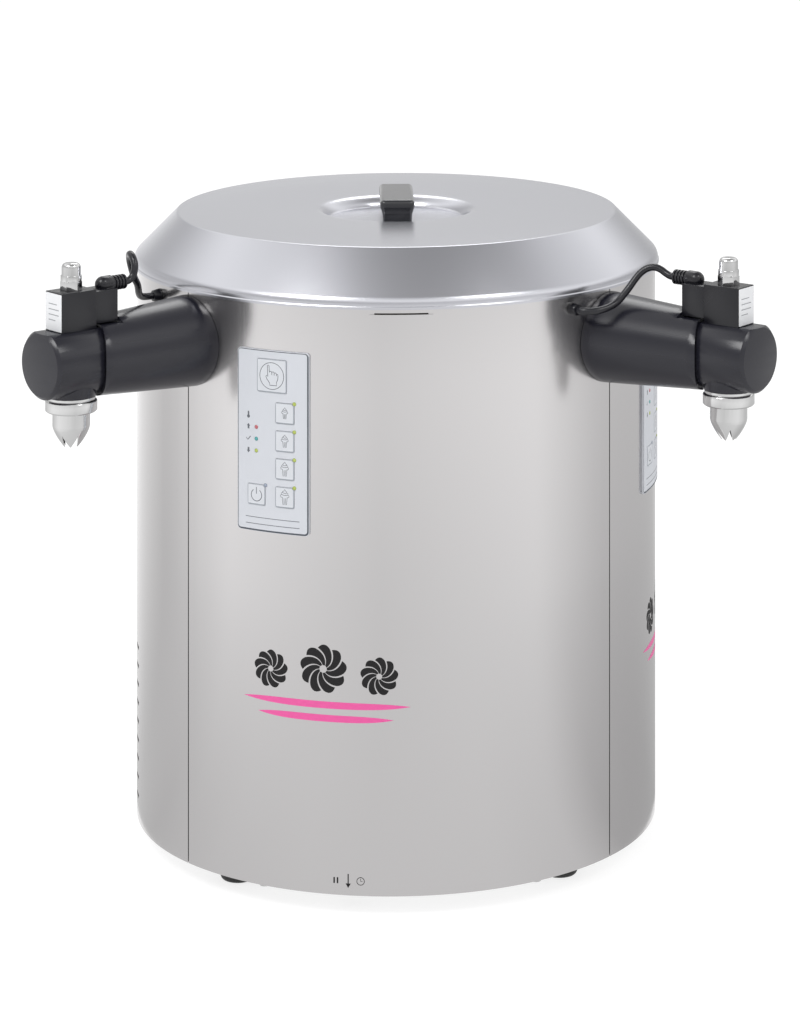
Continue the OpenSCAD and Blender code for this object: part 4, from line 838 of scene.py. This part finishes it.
def pointing_hand():
    """A hand with one raised finger inside a ring, as strokes."""
    outline = [
        (-3.6, 7.6), (-2.9, 8.2), (-2.2, 7.6), (-1.9, 2.6), (-1.4, 3.4), (-0.3, 3.5), (0.2, 2.6), (0.7, 3.2),
        (1.8, 3.2), (2.2, 2.2), (2.8, 2.7), (3.7, 2.5), (4.1, 1.6), (5.0, 1.6), (5.4, 0.6), (5.2, -2.2),
        (4.2, -4.4), (4.2, -7.0), (-1.6, -7.0), (-1.8, -5.2), (-4.0, -2.6), (-4.9, -0.4), (-4.2, 0.2),
        (-3.3, -0.6),
    ]
    fingers = [[(0.2, 2.6), (0.2, 0.9)], [(2.2, 2.2), (2.2, 0.6)], [(4.1, 1.6), (4.1, 0.4)]]
    shapes = stroke(in_mm(outline), HAND_LINE, closed=True)
    for finger in fingers:
        shapes += stroke(in_mm(finger), HAND_LINE)
    shapes += band(circle_loop(HAND_RING_R), circle_loop(HAND_RING_R - HAND_RING_LINE))
    return shapes


print("hand sign:", len(pointing_hand()), "strokes")

# %% The cream cup and the power mark
CUP_LINE = 0.0004
POWER_R = 0.0046
POWER_LINE = 0.0006
POWER_OPEN_DEG = 70
POWER_STEPS = 28
POWER_DROP = 0.0004
POWER_STROKE = [(0, 0.0056), (0, 0.0006)]


def cream_cup(size):
    """A cup with a swirl of cream; size is against the largest portion."""
    cup = [(-2.0, 0.2), (-1.5, -5.2), (1.5, -5.2), (2.0, 0.2)]
    swirl = [
        (-2.0, 0.2), (-3.4, 0.4), (-3.5, 1.8), (-2.6, 2.3), (-2.8, 3.4), (-1.8, 3.9), (-1.8, 4.7),
        (-0.8, 5.0), (0.1, 6.4), (0.9, 5.0), (1.7, 4.6), (1.8, 3.8), (2.7, 3.4), (2.6, 2.3), (3.5, 1.8),
        (3.4, 0.4), (2.0, 0.2),
    ]
    grooves = [[(-0.6, -0.4), (-0.45, -4.8)], [(0.6, -0.4), (0.45, -4.8)]]
    folds = [[(-2.6, 2.3), (0, 1.7), (2.6, 2.3)], [(-1.8, 3.9), (0, 3.3), (1.8, 3.8)]]
    shapes = []
    for points in [cup, swirl, *grooves, *folds]:
        shapes += stroke(in_mm(points, size), CUP_LINE)
    return shapes


def power_mark():
    """A ring that is open at its top, with an upright stroke in the gap."""
    start = 90 + POWER_OPEN_DEG / 2
    sweep = 360 - POWER_OPEN_DEG
    turns = [math.radians(start + sweep * k / POWER_STEPS) for k in range(POWER_STEPS + 1)]
    ring = [(POWER_R * math.cos(t), POWER_R * math.sin(t) - POWER_DROP) for t in turns]
    return stroke(ring, POWER_LINE) + stroke(POWER_STROKE, POWER_LINE)


print("cup sign:", len(cream_cup(1.0)), "strokes")

# %% Print the keys and paint the shade along their edges
KEY_LIFT = 0.0022
KEY_FRAME_LINE = 0.0005
KEY_FRAME_INSET = 0.0001
KEY_FRAME_SHIFT = 0.00018
KEY_ROUND = 0.0012
HAND_KEY_W = 0.025
PORTION_KEY_W = 0.0155
PORTION_SIZES = (0.72, 0.82, 0.92, 1.0)


def shaded_frame(w, h, r, line, shift):
    """A line round a rectangle, heavier on the right and at the bottom as if light came from the top left."""
    inner = rounded_loop(w - 2 * line, h - 2 * line, r - line)
    return band(rounded_loop(w, h, r), moved(inner, -shift, shift))


def key_frame(side_l):
    """A dark line round a key, heavier on the right and at the bottom: painted shade of its raised edge."""
    outer = side_l - 2 * KEY_FRAME_INSET
    return shaded_frame(outer, outer, KEY_ROUND, KEY_FRAME_LINE, KEY_FRAME_SHIFT)


key_signs = {"key_hand": (pointing_hand(), HAND_KEY_W), "key_power": (power_mark(), PORTION_KEY_W)}
for i, size in enumerate(PORTION_SIZES):
    key_signs[f"key_portion_{i + 1}"] = (cream_cup(size), PORTION_KEY_W)
for side_name in SIDE_NAMES.values():
    for key_name, (sign, side_l) in key_signs.items():
        node = f"{side_name}_{key_name}"
        az, z = place_of(node)
        # The frame round each key is painted shade of the key's raised edge.
        wall_film(f"{node}_frame", key_frame(side_l), az, z, KEY_LIFT, f"{node}_push", "key_foil", "key_shade_paint")
        wall_film(f"{node}_sign", sign, az, z, KEY_LIFT, f"{node}_push", "key_foil", "sign_ink")
print("printed keys:", 2 * len(key_signs))

# %% [markdown]
# ## The keypad plate
# The plate is a silver-blue foil with two thin rules at its foot. The dark line along its edge is painted
# shade of the plate's raised edge, heavier on the right and at the bottom. Three signs stand beside the
# temperature lamps, with a small thermometer above them.

# %% Print the plates and paint the shade along their edges
PLATE_LIFT = 0.0019
PLATE_W = 0.061
PLATE_H = 0.138
PLATE_ROUND = 0.003
PLATE_LINE = 0.0009
PLATE_LINE_SHIFT = 0.00035
RULES = ((-0.0585, 0.046), (-0.0635, 0.046))
RULE_H = 0.0005
KEYPAD_AZ = {LEFT: -27.5, RIGHT: 74.5}
PLATE_MID_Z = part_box("keypad_plates")[1].z - PLATE_H / 2

# The dark line along each plate's edge is painted shade of its raised edge, heavier on the right and at the
# bottom.
plate_shade_line = shaded_frame(
    PLATE_W - PLATE_LINE / 2, PLATE_H - PLATE_LINE / 2, PLATE_ROUND, PLATE_LINE, PLATE_LINE_SHIFT
)
rules = [moved(rounded_loop(w, RULE_H, RULE_H / 3), 0, rise) for rise, w in RULES]


def plate_film(name, shapes, az, z, paint_name):
    """A print, or a line of painted shade, on a keypad plate."""
    return wall_film(name, shapes, az, z, PLATE_LIFT, "machine", "keypad_foil", paint_name)


print("plates of", PLATE_W / MM, "by", PLATE_H / MM, "mm")

# %% Print the temperature signs
SIGN_SHIFT = -0.0205
LAMP_PITCH = 0.00897
TEMP_MID_Z = 0.35397
UP_ARROW = [(-0.8, -1.9), (0.8, -1.9), (0.8, 0.3), (1.6, 0.3), (0, 2.2), (-1.6, 0.3), (-0.8, 0.3)]
DOWN_ARROW = [(x, -y) for x, y in UP_ARROW]
TICK = [(-1.9, 0.1), (-0.6, -1.3), (1.9, 1.5)]
TICK_LINE = 0.0007
STEM_W, STEM_H, STEM_ROUND = 0.0013, 0.0036, 0.0006
STEM_RISE = 0.0008
BULB_R = 0.0013
BULB_DROP = 0.0014
BULB_STEPS = 20

stem = moved(rounded_loop(STEM_W, STEM_H, STEM_ROUND), 0, STEM_RISE)
bulb = circle_loop(BULB_R, BULB_STEPS, (0, -BULB_DROP))
temp_signs = {
    "warm": ([in_mm(UP_ARROW)], 1),
    "ready": (stroke(in_mm(TICK), TICK_LINE), 0),
    "cold": ([in_mm(DOWN_ARROW)], -1),
    "thermometer": ([stem, bulb], 2),
}
for side, az in KEYPAD_AZ.items():
    side_name = SIDE_NAMES[side]
    sign_az = az + math.degrees(SIGN_SHIFT / BODY_R)
    plate_film(f"{side_name}_plate_shade_line", plate_shade_line, az, PLATE_MID_Z, "plate_shade_paint")
    plate_film(f"{side_name}_plate_rules", rules, az, PLATE_MID_Z, "sign_ink")
    for sign, (shapes, step) in temp_signs.items():
        plate_film(f"{side_name}_{sign}_sign", shapes, sign_az, TEMP_MID_Z + step * LAMP_PITCH, "sign_ink")
print("plates printed at", list(KEYPAD_AZ.values()), "degrees")

# %% [markdown]
# ## Lamps
# Small round lenses show the temperature and the lit keys. They are domes, spun from a quarter of a flat
# ellipse, and each colour is a finish of its own.

# %% Make the lamps
LENS_R = 0.0015
LENS_RISE = 0.0006
LENS_STEPS = 20
LENS_LEVELS = 5
LENS_ROUGHNESS = 0.2
LENS_COAT = 0.5
TEMP_SHIFT = -0.01348
LAMP_COLOURS = {
    "red": (0.5, 0.12, 0.14), "teal": (0.08, 0.36, 0.36), "lime": (0.42, 0.5, 0.1), "dull": (0.3, 0.34, 0.42),
}
lamp_finishes = {
    name: plain_finish(f"lamp_{name}", colour, LENS_ROUGHNESS, coat=LENS_COAT)
    for name, colour in LAMP_COLOURS.items()
}


def lamp(name, az, z, colour):
    """A domed lens on the plate."""
    steps = [math.pi / 2 * k / LENS_LEVELS for k in range(LENS_LEVELS + 1)]
    dome = [(LENS_R * math.cos(s), LENS_RISE * math.sin(s)) for s in steps]
    bm = spin_outline(dome, Vector((0, 0, 0)), LENS_STEPS)
    bmesh.ops.recalc_face_normals(bm, faces=bm.faces)
    outward = (on_casing(az, z) - Vector((0, AXIS_Y, z))).normalized()
    stand = outward.to_track_quat("Z", "Y").to_matrix().to_4x4()
    place = Matrix.Translation(on_casing(az, z, PLATE_LIFT)) @ stand
    bmesh.ops.transform(bm, matrix=place, verts=bm.verts)
    return new_piece(name, bm, "machine", "lamp_lens", lamp_finishes[colour])


for side, az in KEYPAD_AZ.items():
    side_name = SIDE_NAMES[side]
    temp_az = az + math.degrees(TEMP_SHIFT / BODY_R)
    for step, colour in ((1, "red"), (0, "teal"), (-1, "lime")):
        temp_z = TEMP_MID_Z + step * LAMP_PITCH
        lamp(f"{side_name}_{colour}_temp_lamp", temp_az, temp_z, colour)
    for key_name in ("key_portion_1", "key_portion_2", "key_portion_3", "key_portion_4", "key_power"):
        key_az, key_z = place_of(f"{side_name}_{key_name}")
        corner_az = key_az + math.degrees(PORTION_KEY_W / 2 / BODY_R)
        colour = "dull" if key_name == "key_power" else "lime"
        lamp(f"{side_name}_{key_name}_lamp", corner_az, key_z + PORTION_KEY_W / 2, colour)
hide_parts("status_lamps")

# %% [markdown]
# ## Coil labels
# Each coil carries a white label with a few plain grey lines on its outer face. Both are flat films, the lines
# a little above the label.

# %% Stick the labels on
LABEL_OUT = 0.3352
LABEL_W, LABEL_H = 0.0206, 0.028
LABEL_MID_Z = 0.4573
LABEL_LINES = ((0.006, 0.011), (0.002, 0.0135), (-0.002, 0.0135), (-0.006, 0.009))
LABEL_LINE_H = 0.0007
LABEL_LINE_L = max(w for y, w in LABEL_LINES)
LABEL_ROUND = 0.0005


def coil_film(name, side, shapes, lift, paint_name):
    """A flat film on the outer face of a coil."""
    bm = bmesh.new()
    for shape in shapes:
        corners = [on_arm(side, x, LABEL_OUT + lift, LABEL_MID_Z + y) for x, y in shape]
        bm.faces.new([bm.verts.new(c) for c in corners])
    return new_piece(name, bm, "machine", "coil_black", prints_and_shade_paints[paint_name])


label = rounded_loop(LABEL_W, LABEL_H, LABEL_ROUND)
label_lines = [
    moved(rounded_loop(w, LABEL_LINE_H, LABEL_LINE_H / 3), (w - LABEL_LINE_L) / 2, y) for y, w in LABEL_LINES
]
for side, side_name in SIDE_NAMES.items():
    coil_film(f"{side_name}_coil_label", side, [label], FILM_LIFT, "label_white")
    coil_film(f"{side_name}_label_lines", side, label_lines, 2 * FILM_LIFT, "label_grey")
print("labels:", LABEL_W / MM, "by", LABEL_H / MM, "mm")

# %% [markdown]
# ## Decor and the pause arrow
# The casing has a plain decor of its own: three rosettes, as a star nozzle pipes them and seen from above,
# over two pink stripes, once in front and once on the side panel. Near the bottom edge an arrow between two
# pause bars and a small clock points at the button under the base that stops the cooling for a while.

# %% Draw the decor
DECOR_AZ = {"front": -16.3, "side": 85.7}
DECOR_Z = 0.166
ROSETTES = ((-0.043, 0.0145), (0.0, 0.0185), (0.043, 0.0145))
ROSETTE_PETALS = 9
PETAL_TWIST = math.radians(48)
PETAL_SHARE = 0.84
PETAL_START = 0.16
PETAL_CROWN = 0.88
PETAL_STEPS = 8
CROWN_STEPS = 6
STRIPES = ((-0.0085, 0.134), (-0.0185, 0.108))
STRIPE_H = 0.0052
STRIPE_STEPS = 24
STRIPE_POWER = 4


def at_turn(centre, reach, turn):
    """A point so far from a centre, at a turn."""
    return (centre[0] + reach * math.cos(turn), centre[1] + reach * math.sin(turn))


def rosette(r, centre):
    """Curved petals round a point, each a little narrower than its share of the circle."""
    petals = []
    width = 2 * math.pi / ROSETTE_PETALS * PETAL_SHARE
    for k in range(ROSETTE_PETALS):
        start = 2 * math.pi * k / ROSETTE_PETALS
        edges = {-1: [], 1: []}
        for step in range(PETAL_STEPS + 1):
            out = step / PETAL_STEPS
            reach = r * (PETAL_START + (PETAL_CROWN - PETAL_START) * out)
            for way, edge in edges.items():
                edge.append(at_turn(centre, reach, start + PETAL_TWIST * out + way * width / 2))
        crown = []
        for step in range(1, CROWN_STEPS):
            along = step / CROWN_STEPS
            reach = r * (PETAL_CROWN + (1 - PETAL_CROWN) * math.sin(math.pi * along))
            crown.append(at_turn(centre, reach, start + PETAL_TWIST + (along - 0.5) * width))
        petals.append(edges[-1] + crown + edges[1][::-1])
    return petals


def stripe(w, h, rise):
    """A stripe that thins out towards both ends."""
    shares = [-1 + 2 * k / STRIPE_STEPS for k in range(STRIPE_STEPS + 1)]
    top = [(w / 2 * k, rise + h / 2 * (1 - k ** STRIPE_POWER)) for k in shares]
    low = [(w / 2 * k, rise - h / 2 * (1 - k ** STRIPE_POWER)) for k in reversed(shares[1:-1])]
    return low + top


swirls = [petal for x, r in ROSETTES for petal in rosette(r, (x, r))]
stripes = [stripe(w, STRIPE_H, rise) for rise, w in STRIPES]
for panel, az in DECOR_AZ.items():
    wall_film(f"{panel}_decor_cream", swirls, az, DECOR_Z, 0, "machine", "casing_steel", "decor_black")
    wall_film(f"{panel}_decor_stripes", stripes, az, DECOR_Z, 0, "machine", "casing_steel", "decor_pink")
print("decor:", len(ROSETTES), "rosettes and", len(stripes), "stripes")

# %% Draw the pause sign
PAUSE_AZ = -11
PAUSE_Z = 0.026
PAUSE_GAP = 0.0095
ARROW_SHAFT = [(0, 0.0052), (0, -0.003)]
ARROW_LINE = 0.0009
ARROW_HEAD = [(-0.002, -0.002), (0, -0.0054), (0.002, -0.002)]
BAR_W, BAR_H, BAR_ROUND = 0.0012, 0.0046, 0.0004
BAR_SHIFT = 0.0013
CLOCK_R = 0.0031
CLOCK_IN_R = 0.0026
CLOCK_STEPS = 32
CLOCK_HANDS = [(0, 0.0019), (0, 0), (0.0014, 0)]
CLOCK_LINE = 0.0004

arrow = stroke(ARROW_SHAFT, ARROW_LINE) + [ARROW_HEAD]
bar = rounded_loop(BAR_W, BAR_H, BAR_ROUND)
bars = [moved(bar, way * BAR_SHIFT - PAUSE_GAP) for way in (-1, 1)]
clock = band(circle_loop(CLOCK_R, CLOCK_STEPS), circle_loop(CLOCK_IN_R, CLOCK_STEPS))
clock += stroke(CLOCK_HANDS, CLOCK_LINE)
clock = [moved(shape, PAUSE_GAP) for shape in clock]
wall_film("pause_sign", arrow + bars + clock, PAUSE_AZ, PAUSE_Z, 0, "machine", "casing_steel", "decor_black")
print("pause sign at", PAUSE_AZ, "degrees")

# %% Last step: finish
bpy.context.view_layer.update()
